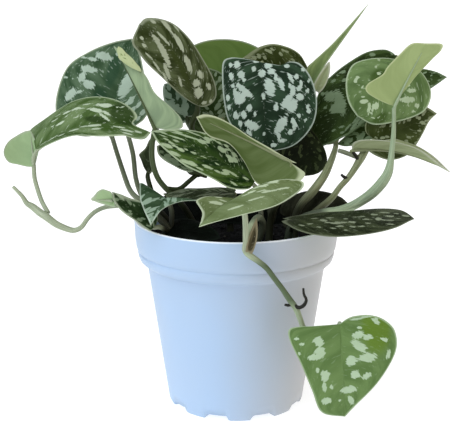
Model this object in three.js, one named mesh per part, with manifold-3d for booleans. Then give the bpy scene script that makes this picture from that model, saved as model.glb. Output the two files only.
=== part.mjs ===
// Satin pothos in a 105 mm nursery pot: pot, soil and eight leafy stems that stand in holes in the soil.
// Millimetres, +Z up, origin on the pot's axis at the surface it stands on, front towards -Y.
import * as THREE from "three";
import { mergeVertices } from "three/addons/utils/BufferGeometryUtils.js";
import Module from "manifold-3d";

const wasm = await Module();
wasm.setup();

// ---- driving dimensions ----
const CLEARANCE = 0.4; // between two pieces that touch
const POT_SIDES = 36;
// Pot profile as [radius, height]: up the outside, over the rim, down the inside.
const POT_OUTSIDE = [
  [0, 0],
  [33.4, 0],
  [35.0, 1.3],
  [36.3, 8],
  [45.7, 72.5],
  [45.9, 75],
  [47.0, 75.8],
  [49.9, 77.6],
  [50.7, 81],
  [50.3, 82],
  [51.3, 83.4],
  [52.1, 88.5],
  [52.5, 97.6],
  [52.2, 98.5],
];
const POT_INSIDE = [
  [51.4, 98.5],
  [51.1, 88.5],
  [49.4, 81.5],
  [48.8, 78.2],
  [44.9, 75.4],
  [44.6, 72.5],
  [35.3, 8],
  [34.0, 4],
  [0, 4],
];
const FOOT = { lobes: 9, firstLobe: -87, notchShare: 0.5, notchHeight: 3, notchFrom: 27.5 };
const DRAIN = { radius: 2.6, at: 30 };
const SOIL = { top: 87, edge: 84.8, dish: 1.2, grain: 1.1, sides: 24, rings: [10, 20, 30, 39, 48.5] };

const BLADE_HALF_THICKNESS = 0.36;
const BLADE_COLUMNS = 2; // across each half blade
const BLADE_SPREAD = 1.2; // how fast a row bends back from the midrib to the margin
const BLADE_SHARPNESS = 1.7; // how rows crowd towards the base
const STALK_SIDES = 6;
const STALK_STEP = 12; // mm between rings
const PETIOLE = 1.25; // usual petiole radius

// ---- colours ----
const FINISHES = {
  pot: { color: 0xc9dbf3, roughness: 0.42, metalness: 0 },
  soil: { color: 0x1b1814, roughness: 0.95, metalness: 0 },
  vine_left: { color: 0x4f6f4b, roughness: 0.5, metalness: 0 },
  stem_back_left: { color: 0x46634a, roughness: 0.5, metalness: 0 },
  stem_mid_left: { color: 0x6d8458, roughness: 0.5, metalness: 0 },
  vine_front: { color: 0x5f8a3a, roughness: 0.5, metalness: 0 },
  stem_centre: { color: 0x34503f, roughness: 0.5, metalness: 0 },
  stem_centre_back: { color: 0x47573b, roughness: 0.5, metalness: 0 },
  stem_right_back: { color: 0x4a6b3f, roughness: 0.5, metalness: 0 },
  vine_right: { color: 0x55704e, roughness: 0.5, metalness: 0 },
};

// ---- half outlines, base to tip: [share of length along the midrib, share of half width] ----
// A heart-shaped half: sinus deepens the notch at the base, wide is where it is widest,
// full rounds the tip.
function heart(sinus, wide, full) {
  const rest = 1 - wide;
  return [
    [0, 0],
    [-0.075 * sinus, 0.14],
    [-0.12 * sinus, 0.36],
    [-0.06 * sinus, 0.66],
    [wide * 0.35, 0.9],
    [wide, 1],
    [wide + rest * 0.35, 0.84 + 0.1 * full],
    [wide + rest * 0.66, 0.5 + 0.26 * full],
    [wide + rest * 0.88, 0.17 + 0.3 * full],
    [1, 0],
  ];
}

// ---- the leafy stems ----
// A leaf runs from base to tip with its upper side towards face. half is [left, right] half width seen from
// above with the tip ahead, fold the angle each half rises from the midrib, cup how far it curls back down,
// arch the rise of the midrib, sweep its bend to the right. left and right outline the halves. stalk is the
// petiole from the base to inside the stem that carries it, girth its radius.
const STEMS = {
  vine_left: {
    holes: [[-30, -24]],
    stems: [
      {
        path: [[-30, -24, 80], [-30, -24, 91], [-35, -25, 100], [-43, -26, 108], [-50, -26, 110.8],
          [-58, -26, 110.4], [-64.5, -28, 110], [-69, -31, 108.6], [-72.5, -34, 105.8], [-75.5, -36, 102],
          [-79, -36, 100.4], [-83, -35, 101], [-88, -34, 103], [-92.5, -32, 105.8], [-96.5, -29, 107.6],
          [-100.5, -26, 109.8], [-103.5, -25, 111.5], [-106, -24, 115], [-110.3, -23, 119.3]],
        radius: [2, 2, 1.8, 1.6, 1.4, 1.2, 1.1, 1.1, 1.1, 1.2, 1.3, 1.5, 1.7, 1.9, 1.9, 1.7, 1.3, 1, 0.8],
      },
    ],
    leaves: [
      // arched left
      {
        base: [-99.7, -14, 136.4], tip: [-42, -22, 146], face: [-0.05, -0.1, 1], half: [25, 12],
        fold: [25, 32, -2, -8], cup: [15, 15], arch: 0.14,
        left: [[0, 0], [-0.03, 0.45], [-0.09, 1.06], [0.06, 1.02], [0.2, 1.02], [0.32, 1.01], [0.5, 0.94],
          [0.66, 0.78], [0.79, 0.55], [0.865, 0.3], [0.855, 0.08], [1, 0]],
        right: [[0, 0], [0.05, 0.5], [0.13, 0.6], [0.23, 0.72], [0.34, 0.8], [0.45, 0.85], [0.6, 1],
          [0.74, 0.95], [0.83, 0.82], [0.91, 0.82], [0.98, 0.6], [1, 0]],
        stalk: [[-101, -14.3, 132], [-101, -14.6, 127.4], [-100.6, -15.8, 122], [-98.8, -18.5, 116.5],
          [-96, -24, 111.7], [-92.3, -30, 107.7]],
        girth: 1.1,
      },
      // curled end
      {
        base: [-100.7, -15.4, 128], tip: [-104, -3, 144], face: [-0.1, 1, -0.35], half: [3, 14.6],
        fold: [0, 0, 0, 0], cup: [20, 30], arch: 0.03,
        left: [[0, 0], [0.1, 0.35], [0.22, 0.6], [0.35, 0.95], [0.45, 1], [0.55, 0.85], [0.66, 0.7],
          [0.77, 0.55], [0.9, 0.35], [1, 0]],
        right: [[0, 0], [0, 0.2], [0.07, 0.55], [0.13, 0.85], [0.32, 1], [0.53, 0.95], [0.75, 0.75],
          [0.9, 0.45], [0.98, 0.2], [1, 0]],
      },
      // rim left
      {
        base: [-40, -38, 102.6], tip: [-60, -38, 120], face: [0.3, -0.6, 0.75], half: [5, 8],
        fold: [10, 5, 10, 5], cup: [15, 15], arch: 0,
        left: [[0, 0], [0.02, 0.75], [0.1, 0.85], [0.2, 0.9], [0.32, 0.95], [0.46, 1], [0.62, 1],
          [0.75, 0.95], [0.9, 0.65], [1, 0]],
        right: [[0, 0], [0.02, 0.5], [0.1, 0.9], [0.27, 1], [0.48, 0.82], [0.67, 0.52], [0.82, 0.3],
          [0.9, 0.16], [0.96, 0.08], [1, 0]],
        stalk: [[-37.8, -35.5, 102], [-35.5, -30.5, 99.5], [-34, -25.5, 97]],
      },
      // rim left curl
      {
        base: [-59.6, -38, 116], tip: [-70.4, -37, 116], face: [0, 1, 0.2], half: [7, 3.5],
        fold: [0, 0, 0, 0], cup: [40, 40], arch: 0,
        left: [[0, 0], [0.01, 0.3], [0.05, 0.7], [0.2, 0.9], [0.4, 1], [0.63, 0.75], [0.8, 0.4],
          [0.9, 0.2], [0.97, 0.1], [1, 0]],
        right: [[0, 0], [-0.08, 0.5], [-0.1, 0.9], [0.05, 1], [0.32, 0.76], [0.6, 0.48], [0.78, 0.32],
          [0.9, 0.22], [0.96, 0.12], [1, 0]],
      },
      // pointed left
      {
        base: [-35, -30, 115], tip: [-41.3, -44, 105], face: [-0.15, -0.7, 0.6], half: [17.8, 14.7],
        fold: [25, 15, 20, 15], cup: [15, 15], arch: 0.04,
        left: [[0, 0], [0.05, 0.45], [0.07, 0.82], [0.08, 1], [0.12, 0.72], [0.2, 0.44], [0.32, 0.22],
          [0.5, 0.1], [0.75, 0.05], [1, 0]],
        right: [[0, 0], [-0.07, 0.3], [-0.14, 0.63], [-0.2, 1], [0.05, 0.9], [0.34, 0.72], [0.53, 0.54],
          [0.71, 0.35], [0.86, 0.16], [1, 0]],
        stalk: [[-33.5, -27.8, 113], [-32, -25, 106], [-32.7, -24.5, 97]],
      },
      // bed left
      {
        base: [-33, -25.5, 98.5], tip: [-8, -32, 95.5], face: [0, -0.5, 0.85], half: [8, 8],
        fold: [10, 5, 10, 5], cup: [15, 15], arch: 0.04,
        left: heart(1, 0.34, 0.5),
        right: heart(1, 0.34, 0.5),
      },
    ],
  },
  stem_back_left: {
    holes: [[-33, -6]],
    stems: [
      {
        path: [[-33, -6, 80], [-33, -6, 92], [-37, -12, 102], [-43, -17.5, 108.5], [-49, -18, 112],
          [-53, -14, 115], [-56, -6, 119], [-61, 5, 130], [-64, 12, 137], [-66, 15.3, 141]],
        radius: [1.9, 1.9, 1.7, 1.5, 1.4, 1.3, 1.3, 1.2, 1.2, 1.2],
      },
    ],
    leaves: [
      // tall left
      {
        base: [-66.6, 16, 142], tip: [-54, 24, 187.5], face: [0.05, -1, 0.25], half: [29.8, 18],
        fold: [12, 8, 12, 8], cup: [15, 15], arch: 0.05,
        left: [[0, 0], [-0.08, 0.1], [-0.15, 0.35], [-0.15, 0.66], [-0.03, 0.9], [0.2, 1], [0.52, 0.94],
          [0.74, 0.64], [0.9, 0.3], [1, 0]],
        right: [[0, 0], [-0.03, 0.25], [0, 0.52], [0.1, 0.75], [0.2, 0.95], [0.32, 1], [0.5, 0.82],
          [0.7, 0.57], [0.9, 0.28], [1, 0]],
        stalk: [[-66, 15.3, 140.5], [-64.3, 12.4, 137.6]],
      },
      // behind left
      {
        base: [-58.5, 20, 148], tip: [-68, 47, 176], face: [0.1, -0.75, 0.6], half: [17, 16],
        fold: [10, 5, 10, 5], cup: [15, 15], arch: 0.05,
        left: heart(1, 0.34, 0.5),
        right: heart(1, 0.34, 0.5),
        stalk: [[-58.3, 17, 144.5], [-56, 12, 139], [-53, 5, 130], [-51, -4, 119], [-47.3, -12.5, 111.5],
          [-43, -17, 108]],
      },
      // low corner
      {
        base: [-45.5, -2, 122.3], tip: [-43.2, -2, 139.9], face: [-0.7, -0.7, 0.1], half: [6.5, 5],
        fold: [10, 10, 10, 10], cup: [15, 15], arch: 0.02,
        left: [[0, 0], [0.08, 0.25], [0.2, 0.55], [0.33, 0.85], [0.42, 1], [0.52, 0.8], [0.66, 0.45],
          [0.8, 0.25], [0.92, 0.12], [1, 0]],
        right: heart(0, 0.3, 0),
        stalk: [[-45, -3, 119], [-42, -6, 110], [-38, -9, 101], [-34.5, -8, 95]],
      },
    ],
  },
  stem_mid_left: {
    holes: [[-21, -3]],
    stems: [
      {
        path: [[-21, -3, 80], [-21, -3, 92], [-25, -5, 102], [-31, -9, 111], [-36.5, -11.5, 117],
          [-40, -12, 122.5], [-42, -12, 130], [-42, -13, 138], [-40.6, -14, 146]],
        radius: [1.8, 1.8, 1.6, 1.5, 1.4, 1.4, 1.4, 1.4, 1.3],
      },
      {
        path: [[-35, -11, 115.5], [-29, -9, 115], [-24, -7, 118.5], [-19.5, -5, 121.5], [-15, -4.3, 120]],
        radius: [1.3, 1.2, 1.2, 1.2, 0.6],
      },
    ],
    leaves: [
      // back view
      {
        base: [-40.4, -14, 147], tip: [-60, -12, 187.2], face: [0.26, 0.97, 0.1], half: [13.7, 12],
        fold: [25, 20, 80, 80], cup: [-10, 10], arch: 0.02,
        left: [[0, 0], [-0.05, 0.25], [-0.1, 0.57], [-0.12, 0.92], [-0.02, 1], [0.16, 0.8], [0.35, 0.55],
          [0.54, 0.53], [0.77, 0.36], [1, 0]],
        right: heart(1, 0.34, 0.5),
        stalk: [[-40.5, -14, 145.5], [-41.5, -13.4, 140.5]],
      },
      // back view turn
      {
        base: [-46.6, -13.6, 174.6], tip: [-58, -12, 187], face: [0.2, -1, 0.1], half: [3.6, 1.2],
        fold: [0, 0, 0, 0], cup: [10, 10], arch: 0.02,
        left: [[0, 0], [0.08, 0.2], [0.25, 0.55], [0.45, 0.85], [0.65, 1], [0.75, 1], [0.83, 0.75],
          [0.93, 0.5], [0.98, 0.15], [1, 0]],
        right: [[0, 0], [0.13, 0.8], [0.27, 0.9], [0.44, 1], [0.6, 0.8], [0.73, 0.65], [0.84, 0.7],
          [0.91, 0.55], [0.96, 0.35], [1, 0]],
      },
      // low strip
      {
        base: [-22.4, -8, 123.5], tip: [-40, -8, 136.8], face: [0.4, -0.5, 0.8], half: [5.1, 12],
        fold: [10, 5, 10, 5], cup: [15, 15], arch: 0,
        left: [[0, 0], [0.04, 0.3], [0.11, 0.4], [0.23, 0.66], [0.37, 0.9], [0.55, 1], [0.72, 0.97],
          [0.85, 0.9], [0.93, 0.6], [1, 0]],
        right: heart(1, 0.34, 0.5),
        stalk: [[-20.5, -6.8, 122.8], [-18.8, -5.2, 121.3]],
      },
      // low flat
      {
        base: [-1.2, -14, 114], tip: [-36.7, -16, 114], face: [0, -0.2, 1], half: [11.6, 5.4],
        fold: [10, 5, 10, 5], cup: [15, 15], arch: 0.03,
        left: [[0, 0], [-0.02, 0.53], [0.02, 0.85], [0.15, 0.98], [0.33, 1], [0.5, 0.94], [0.66, 0.85],
          [0.82, 0.73], [0.93, 0.5], [1, 0]],
        right: [[0, 0], [-0.03, 0.6], [0.02, 1], [0.16, 0.92], [0.33, 0.82], [0.5, 0.83], [0.65, 0.78],
          [0.79, 0.4], [0.9, 0.1], [1, 0]],
        stalk: [[-1.5, -12.5, 112.5], [-7, -7, 104], [-14, -4, 96], [-20, -3, 91]],
      },
    ],
  },
  vine_front: {
    holes: [[9.5, -31]],
    stems: [
      {
        path: [[9.5, -31, 80], [9.5, -31, 91], [12, -31.5, 98], [12.5, -34, 104], [10, -41, 108],
          [6.5, -50, 106], [4.3, -56, 100], [4.3, -57.5, 95.5], [9.8, -57.5, 91], [13.8, -57, 87.5],
          [17.5, -57, 82.5], [21.5, -56.5, 77], [24.5, -57, 72.5], [28, -57, 67.5], [30, -57, 62.5],
          [32, -56.5, 57.5], [36, -56, 54.5], [41, -56, 54.3], [45.5, -57, 56], [48.6, -60, 60]],
        radius: [2, 2, 1.8, 1.7, 1.6, 1.5, 1.5, 1.6, 1.4, 1.3, 1.3, 1.3, 1.5, 1.5, 1.4, 1.3, 1.2, 1.2,
          1.2, 1.1],
      },
      {
        path: [[26, -57.2, 70.4], [29, -58, 68.2], [31.7, -58.7, 69.6], [32.8, -58.7, 72.3],
          [31.6, -58.7, 75], [31.3, -58.7, 78]],
        radius: [0.8, 0.95, 0.9, 0.75, 0.65, 0.5],
      },
      {
        path: [[26.6, -56.8, 69.8], [24.4, -57.3, 69.1], [22.6, -57.5, 69.5]],
        radius: [0.85, 0.75, 0.6],
      },
    ],
    leaves: [
      // rim front
      {
        base: [-0.2, -68, 123.4], tip: [-16.9, -98, 117.9], face: [-0.34, -0.42, 0.84], half: [30.6, 10],
        fold: [40, 7, 30, 30], cup: [19, 0], arch: 0.05,
        left: [[0, 0], [-0.04, 0.15], [-0.12, 0.34], [-0.13, 0.58], [-0.22, 0.8], [-0.32, 0.96],
          [-0.05, 1], [0.42, 0.93], [0.74, 0.53], [1, 0]],
        right: [[0, 0], [0.12, 0.25], [0.24, 0.55], [0.39, 0.83], [0.52, 0.97], [0.58, 1], [0.65, 0.71],
          [0.74, 0.33], [0.87, 0.14], [1, 0]],
        stalk: [[2.3, -66, 120], [3.4, -64.3, 115], [3.8, -62, 109.6], [3.9, -59.5, 101.8],
          [4, -57.8, 96]],
        girth: 1.35,
      },
      // long front
      {
        base: [8.2, -36, 124], tip: [-41.3, -31, 148.2], face: [0.42, -0.45, 0.78], half: [16.3, 17.9],
        fold: [15, 10, 15, 10], cup: [20, 20], arch: 0.05,
        left: [[0, 0], [0.02, 0.48], [0.09, 0.78], [0.19, 0.97], [0.31, 1], [0.45, 1], [0.6, 0.96],
          [0.75, 0.78], [0.89, 0.49], [1, 0]],
        right: [[0, 0], [0, 0.26], [0.05, 0.64], [0.18, 0.91], [0.32, 1], [0.49, 0.87], [0.66, 0.66],
          [0.82, 0.39], [0.94, 0.16], [1, 0]],
        stalk: [[9.5, -35.3, 120.5], [11, -35, 113], [12.2, -34.5, 105]],
      },
      // hanging
      {
        base: [48.7, -62, 61.4], tip: [52.5, -58, 12.7], face: [0.12, -1, 0.2], half: [26.2, 24.7],
        fold: [10, 5, 10, 5], cup: [15, 15], arch: 0.06,
        left: [[0, 0], [-0.04, 0.12], [-0.06, 0.28], [-0.05, 0.56], [0.01, 0.81], [0.14, 1], [0.35, 0.99],
          [0.62, 0.66], [0.86, 0.22], [1, 0]],
        right: [[0, 0], [-0.01, 0.3], [-0.02, 0.6], [-0.03, 0.82], [-0.01, 1], [0.1, 1], [0.34, 0.83],
          [0.63, 0.65], [0.9, 0.47], [1, 0]],
        stalk: [[48.4, -60.3, 60], [45.8, -57.6, 56.8]],
      },
      // sheath front
      {
        base: [5.2, -58.4, 95.4], tip: [9, -58, 112], face: [0.2, -1, 0.1], half: [2.2, 2.4],
        fold: [25, 20, 25, 20], cup: [10, 10], arch: 0.06,
        left: heart(0, 0.3, 0.2),
        right: heart(0, 0.3, 0.2),
      },
    ],
  },
  stem_centre: {
    holes: [[17, -5]],
    stems: [
      {
        path: [[17, -5, 80], [17, -5, 92], [18, -7.5, 101], [20.5, -17, 110], [23.5, -28, 119],
          [25.4, -36.5, 127.5], [25.6, -40.2, 133.6]],
        radius: [1.9, 1.9, 1.7, 1.5, 1.3, 0.9, 0.6],
      },
    ],
    leaves: [
      // folded
      {
        base: [25.6, -41, 135.2], tip: [-19.3, -39.5, 156.6], face: [-0.25, 0.9, 0.08], half: [4, 17.3],
        fold: [20, 15, 20, 15], cup: [10, 10], arch: 0.05,
        left: [[0, 0], [-0.03, 0.1], [-0.05, 0.2], [0, 0.22], [0.1, 0.25], [0.26, 0.4], [0.46, 0.57],
          [0.66, 0.95], [0.83, 1], [0.94, 0.66], [1, 0]],
        right: [[0, 0], [-0.04, 0.05], [-0.1, 0.06], [-0.17, 0.14], [-0.13, 0.5], [0.03, 0.92], [0.21, 1],
          [0.4, 0.6], [0.6, 0.32], [0.82, 0.35], [1, 0]],
        stalk: [[25.5, -39.6, 132]],
        girth: 0.6,
      },
      // silver big
      {
        base: [13, 8, 176.9], tip: [16.2, 2, 131.9], face: [-0.03, -1, 0.1], half: [26.5, 20.8],
        fold: [12, 6, 12, 6], cup: [15, 15], arch: 0.05,
        left: [[0, 0], [0.03, 0.19], [0.05, 0.36], [0.02, 0.54], [0.06, 0.74], [0.23, 0.93], [0.49, 1],
          [0.74, 0.88], [0.94, 0.51], [1, 0]],
        right: [[0, 0], [-0.03, 0.24], [-0.06, 0.53], [-0.07, 0.77], [-0.03, 0.95], [0.15, 1],
          [0.41, 0.99], [0.63, 0.9], [0.87, 0.55], [1, 0]],
        stalk: [[13, 9.7, 175], [13.5, 12.5, 168], [15, 13.5, 148], [16, 11, 126], [17, 0, 105],
          [17.6, -5, 97]],
      },
      // shaded right
      {
        base: [34.5, 13, 144], tip: [40.3, 13, 117.6], face: [0.1, -0.9, 0.3], half: [8.8, 19],
        fold: [10, 5, 10, 5], cup: [15, 15], arch: 0.06,
        left: [[0, 0], [0.05, 0.3], [0.15, 0.5], [0.3, 0.7], [0.5, 0.92], [0.7, 1], [0.82, 0.95],
          [0.92, 0.7], [0.98, 0.35], [1, 0]],
        right: [[0, 0], [0.02, 0.3], [0.08, 0.6], [0.2, 0.85], [0.4, 1], [0.6, 0.95], [0.78, 0.75],
          [0.9, 0.5], [0.97, 0.25], [1, 0]],
        stalk: [[33.5, 14.5, 142], [31, 14.5, 134], [27, 10, 118], [21, 2, 104], [18.3, -5, 96]],
      },
    ],
  },
  stem_centre_back: {
    holes: [[-3, 14]],
    stems: [
      {
        path: [[-3, 14, 80], [-3, 14, 92], [-3, 15, 104], [-4, 18, 118], [-6, 23, 133],
          [-7.3, 26.5, 146]],
        radius: [1.9, 1.9, 1.8, 1.6, 1.4, 1.2],
      },
    ],
    leaves: [
      // back small
      {
        base: [-11, 26, 139.5], tip: [-14, 28, 171.7], face: [0.2, -0.9, 0.2], half: [17, 16],
        fold: [10, 5, 10, 5], cup: [15, 15], arch: 0.06,
        left: heart(1, 0.34, 0.5),
        right: heart(1, 0.34, 0.5),
        stalk: [[-9, 25.5, 137.5], [-6.4, 24, 134.5]],
      },
      // tall olive
      {
        base: [-19.2, 2, 155.6], tip: [-48.3, -2, 197], face: [0.45, -0.8, 0.2], half: [14.4, 12.2],
        fold: [10, 10, 15, 10], cup: [20, 20], arch: 0.05, sweep: 0.1,
        left: [[0, 0], [0.04, 0.21], [0.11, 0.44], [0.22, 0.68], [0.37, 0.87], [0.54, 0.98], [0.71, 1],
          [0.86, 0.9], [0.98, 0.7], [1, 0]],
        right: [[0, 0], [-0.02, 0.22], [-0.01, 0.6], [0.05, 0.9], [0.18, 1], [0.37, 0.95], [0.59, 0.95],
          [0.78, 0.85], [0.96, 0.41], [1, 0]],
        stalk: [[-20, 4.5, 152], [-23, 8, 144], [-19, 12, 134], [-10, 16, 125.5], [-4.5, 18, 115]],
        girth: 1.5,
      },
      // tiny back
      {
        base: [-25.8, 10, 149.2], tip: [-36.9, 10, 165.7], face: [0.4, -0.8, 0.2], half: [7, 12],
        fold: [10, 5, 10, 5], cup: [15, 15], arch: 0.06,
        left: heart(1, 0.34, 0.5),
        right: heart(1, 0.34, 0.5),
        stalk: [[-25, 9.6, 147.3], [-23, 8.2, 143]],
      },
      // plain back
      {
        base: [15.2, 44, 160.1], tip: [-31.8, 36, 171.8], face: [0, 1, 0.1], half: [20.5, 20],
        fold: [10, 5, 10, 5], cup: [10, 10], arch: 0.05,
        left: heart(1, 0.34, 1),
        right: heart(1, 0.34, 1),
        stalk: [[17.5, 43, 157.5], [17, 38, 146], [9, 30, 130], [-3.5, 19, 116]],
      },
      // striped back
      {
        base: [37.5, 24, 170], tip: [3.5, 20, 178], face: [0, -1, 0.2], half: [16, 10.4],
        fold: [8, 5, 8, 5], cup: [15, 15], arch: 0.03,
        left: heart(1, 0.34, 1),
        right: [[0, 0], [0.02, 0.2], [0.08, 0.45], [0.19, 0.78], [0.36, 0.98], [0.59, 1], [0.77, 0.75],
          [0.89, 0.4], [0.965, 0.12], [1, 0]],
        stalk: [[37, 26, 167.5], [33.5, 29, 158], [27, 31, 148], [18, 31, 138], [8, 28, 128]],
      },
      // bed back
      {
        base: [31, 16, 99.5], tip: [-41, 17, 100], face: [0, -1, 0.3], half: [9, 7],
        fold: [5, 5, 5, 5], cup: [10, 10], arch: 0.04,
        left: [[0, 0], [-0.02, 0.4], [0, 0.8], [0.15, 1], [0.35, 1], [0.55, 1], [0.75, 1], [0.9, 0.95],
          [0.98, 0.6], [1, 0]],
        right: [[0, 0], [-0.02, 0.4], [0, 0.8], [0.15, 1], [0.35, 1], [0.55, 1], [0.75, 1], [0.9, 0.95],
          [0.98, 0.6], [1, 0]],
      },
    ],
  },
  stem_right_back: {
    holes: [[30, -7]],
    stems: [
      {
        path: [[30, -7, 80], [30, -7, 92], [30, -8, 100], [32.8, -9, 107], [37.4, -8, 112],
          [41.6, -5, 116.5], [45.3, -1, 121], [48.3, 5, 125.5], [50.8, 14, 128.5], [52.5, 22, 130.5],
          [53.5, 28, 133.5], [56.5, 32, 138], [64, 36, 145], [72, 39, 151], [79, 41, 158],
          [84, 38.3, 174]],
        radius: [1.9, 1.9, 1.9, 2, 2.3, 2.3, 2.1, 1.8, 1.6, 1.4, 1.3, 1.3, 1.3, 1.3, 1.3, 1.2],
      },
    ],
    leaves: [
      // rolled right
      {
        base: [84.8, 36, 177], tip: [40.1, 22, 129.2], face: [-0.2, -0.95, 0.2], half: [16.5, 18.3],
        fold: [10, 5, 10, 5], cup: [15, 15], arch: 0.06,
        left: [[0, 0], [0.01, 0.28], [0.08, 0.64], [0.19, 0.9], [0.31, 1], [0.42, 0.93], [0.55, 0.72],
          [0.71, 0.58], [0.86, 0.33], [1, 0]],
        right: [[0, 0], [0, 0.17], [0.03, 0.4], [0.13, 0.68], [0.26, 0.85], [0.42, 0.98], [0.57, 1],
          [0.71, 0.82], [0.86, 0.5], [1, 0]],
        stalk: [[84.6, 37.6, 175.5], [83.6, 38.8, 171]],
      },
      // round right
      {
        base: [90.4, 10, 175], tip: [61.8, 8, 149.5], face: [0, -1, 0.35], half: [20.9, 21.1],
        fold: [10, 5, 10, 5], cup: [15, 15], arch: 0.05,
        left: [[0, 0], [-0.01, 0.16], [0, 0.44], [0.05, 0.71], [0.15, 0.9], [0.3, 1], [0.49, 0.91],
          [0.69, 0.72], [0.91, 0.43], [1, 0]],
        right: [[0, 0], [0.02, 0.19], [0.11, 0.37], [0.24, 0.63], [0.42, 0.88], [0.59, 1], [0.75, 0.89],
          [0.88, 0.65], [0.97, 0.34], [1, 0]],
        stalk: [[90.5, 12.5, 174], [89.5, 22, 168], [85.5, 34, 162], [80.5, 40.5, 158.5]],
      },
      // far tip
      {
        base: [86.6, 38, 162], tip: [111.9, 34, 166.2], face: [0, -0.6, 0.8], half: [9, 11],
        fold: [10, 5, 10, 5], cup: [15, 15], arch: 0.04,
        left: heart(1, 0.34, 0),
        right: heart(1, 0.34, 0),
        stalk: [[84.5, 39, 160.5], [80, 40.5, 158]],
      },
      // under right
      {
        base: [82, 27, 143.3], tip: [53.9, 24, 131.7], face: [0, -0.8, 0.6], half: [5, 6.5],
        fold: [10, 5, 10, 5], cup: [15, 15], arch: 0.03,
        left: [[0, 0], [-0.01, 0.33], [0.04, 0.73], [0.16, 0.9], [0.34, 1], [0.51, 1], [0.65, 0.94],
          [0.81, 0.77], [0.92, 0.47], [1, 0]],
        right: [[0, 0], [0.02, 0.41], [0.13, 0.82], [0.3, 1], [0.46, 0.87], [0.62, 0.63], [0.77, 0.44],
          [0.88, 0.28], [0.97, 0.15], [1, 0]],
        stalk: [[83.3, 29.5, 144.3], [81, 34, 147.5], [74.5, 39.4, 153]],
      },
      // young spike
      {
        base: [37.2, 12, 165], tip: [67.6, 16, 206.4], face: [-0.3, -0.9, -0.1], half: [6.2, 2.2],
        fold: [10, 10, 10, 10], cup: [-20, -20], arch: 0,
        left: [[0, 0], [0.03, 0.4], [0.07, 0.75], [0.136, 1], [0.21, 0.88], [0.3, 0.72], [0.45, 0.47],
          [0.62, 0.3], [0.8, 0.15], [1, 0]],
        right: [[0, 0], [0.02, 0.7], [0.08, 1], [0.15, 0.85], [0.23, 0.4], [0.36, 0.3], [0.5, 0.25],
          [0.65, 0.2], [0.82, 0.12], [1, 0]],
        stalk: [[37, 12.5, 163], [36.8, 14, 157], [36.5, 17, 151], [36.5, 22, 145], [37.5, 26.5, 139.5],
          [42, 28.5, 134], [48, 28, 132], [53.3, 27, 133]],
        girth: 1.1,
      },
      // young sheath
      {
        base: [40.5, 11.5, 162], tip: [47.5, 11.5, 177], face: [0.3, -0.9, 0], half: [3.2, 3.2],
        fold: [30, 20, 30, 20], cup: [10, 10], arch: 0.05,
        left: heart(0, 0.3, 0.5),
        right: heart(0, 0.3, 0.5),
        stalk: [[38.7, 12.5, 160], [37.2, 14, 157]],
        girth: 1.1,
      },
      // bed right
      {
        base: [27, 0, 98], tip: [57, -4, 106.5], face: [0, -1, 0.35], half: [11, 8],
        fold: [10, 5, 10, 5], cup: [10, 10], arch: 0.04,
        left: heart(1, 0.34, 0.5),
        right: heart(1, 0.34, 0.5),
        stalk: [[28.5, -3, 97], [30, -7, 95]],
      },
    ],
  },
  vine_right: {
    holes: [[26, -20]],
    stems: [
      {
        path: [[26, -20, 80], [26, -20, 92], [28, -20, 99], [34, -20.5, 103.3], [42, -20.5, 105.3],
          [51, -19.5, 106.2], [57.6, -18, 108.2], [63, -18, 111.4], [67.6, -20, 115.6], [72, -21, 121],
          [74.8, -20.7, 126], [76, -19.6, 131.5], [76.6, -18.5, 137], [77.2, -17.8, 144],
          [77.3, -17, 152], [77.2, -16.3, 157.3]],
        radius: [2.1, 2.1, 1.9, 1.9, 2.1, 2.3, 2.4, 2.5, 2.7, 2.7, 2.3, 1.7, 1.4, 1.2, 1, 1],
      },
      {
        path: [[38, -20, 104.5], [43, -15.5, 107.5], [48, -12, 111], [52.4, -8, 115.8], [56.7, -5, 119.8],
          [60.3, -3, 124.6], [63.3, -2, 129.6], [66, 0, 133.5]],
        radius: [1.9, 1.8, 1.6, 1.5, 1.5, 1.7, 2.2, 1.8],
      },
      {
        path: [[62, -2, 129.5], [58.7, -3, 131.1], [55, -4.2, 132.8], [51.6, -5, 134]],
        radius: [1, 1.1, 1.2, 1.1],
      },
      {
        path: [[62, -3, 129], [60, -4, 131.5], [58.5, -4.3, 134]],
        radius: [0.9, 0.8, 0.6],
      },
      {
        path: [[56.5, -5.5, 119.5], [54.3, -6.5, 120.8], [53, -6.8, 122]],
        radius: [0.9, 0.8, 0.6],
      },
    ],
    leaves: [
      // flag
      {
        base: [77.2, -16, 158.3], tip: [93.2, -10, 188.3], face: [-0.25, 0.93, 0.1], half: [8.4, 17.2],
        fold: [0, 0, 10, 10], cup: [10, 10], arch: 0.02,
        left: [[0, 0], [0.1, 0.06], [0.21, 0.12], [0.34, 0.25], [0.5, 0.4], [0.68, 0.6], [0.87, 0.8],
          [1.02, 1], [1.1, 0.84], [1, 0]],
        right: [[0, 0], [-0.02, 0.25], [-0.03, 0.7], [0, 0.97], [0.1, 1], [0.3, 0.75], [0.44, 0.7],
          [0.68, 0.55], [0.89, 0.39], [1, 0]],
        stalk: [[77.2, -16.3, 155.5]],
        girth: 1,
      },
      // pointed right
      {
        base: [70.9, 8, 137.6], tip: [102.4, 6, 151.1], face: [0.2, -0.95, 0.2], half: [13.6, 14.2],
        fold: [10, 5, 10, 5], cup: [15, 15], arch: 0.06,
        left: [[0, 0], [-0.07, 0.36], [-0.01, 0.72], [0.15, 0.96], [0.35, 1], [0.53, 0.97], [0.7, 0.8],
          [0.82, 0.58], [0.92, 0.3], [1, 0]],
        right: [[0, 0], [-0.1, 0.06], [-0.14, 0.3], [-0.07, 0.57], [0.1, 0.92], [0.33, 1], [0.5, 0.83],
          [0.68, 0.5], [0.85, 0.15], [1, 0]],
        stalk: [[69.8, 6, 136], [67, 1.2, 133.6]],
      },
      // pale arch
      {
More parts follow.
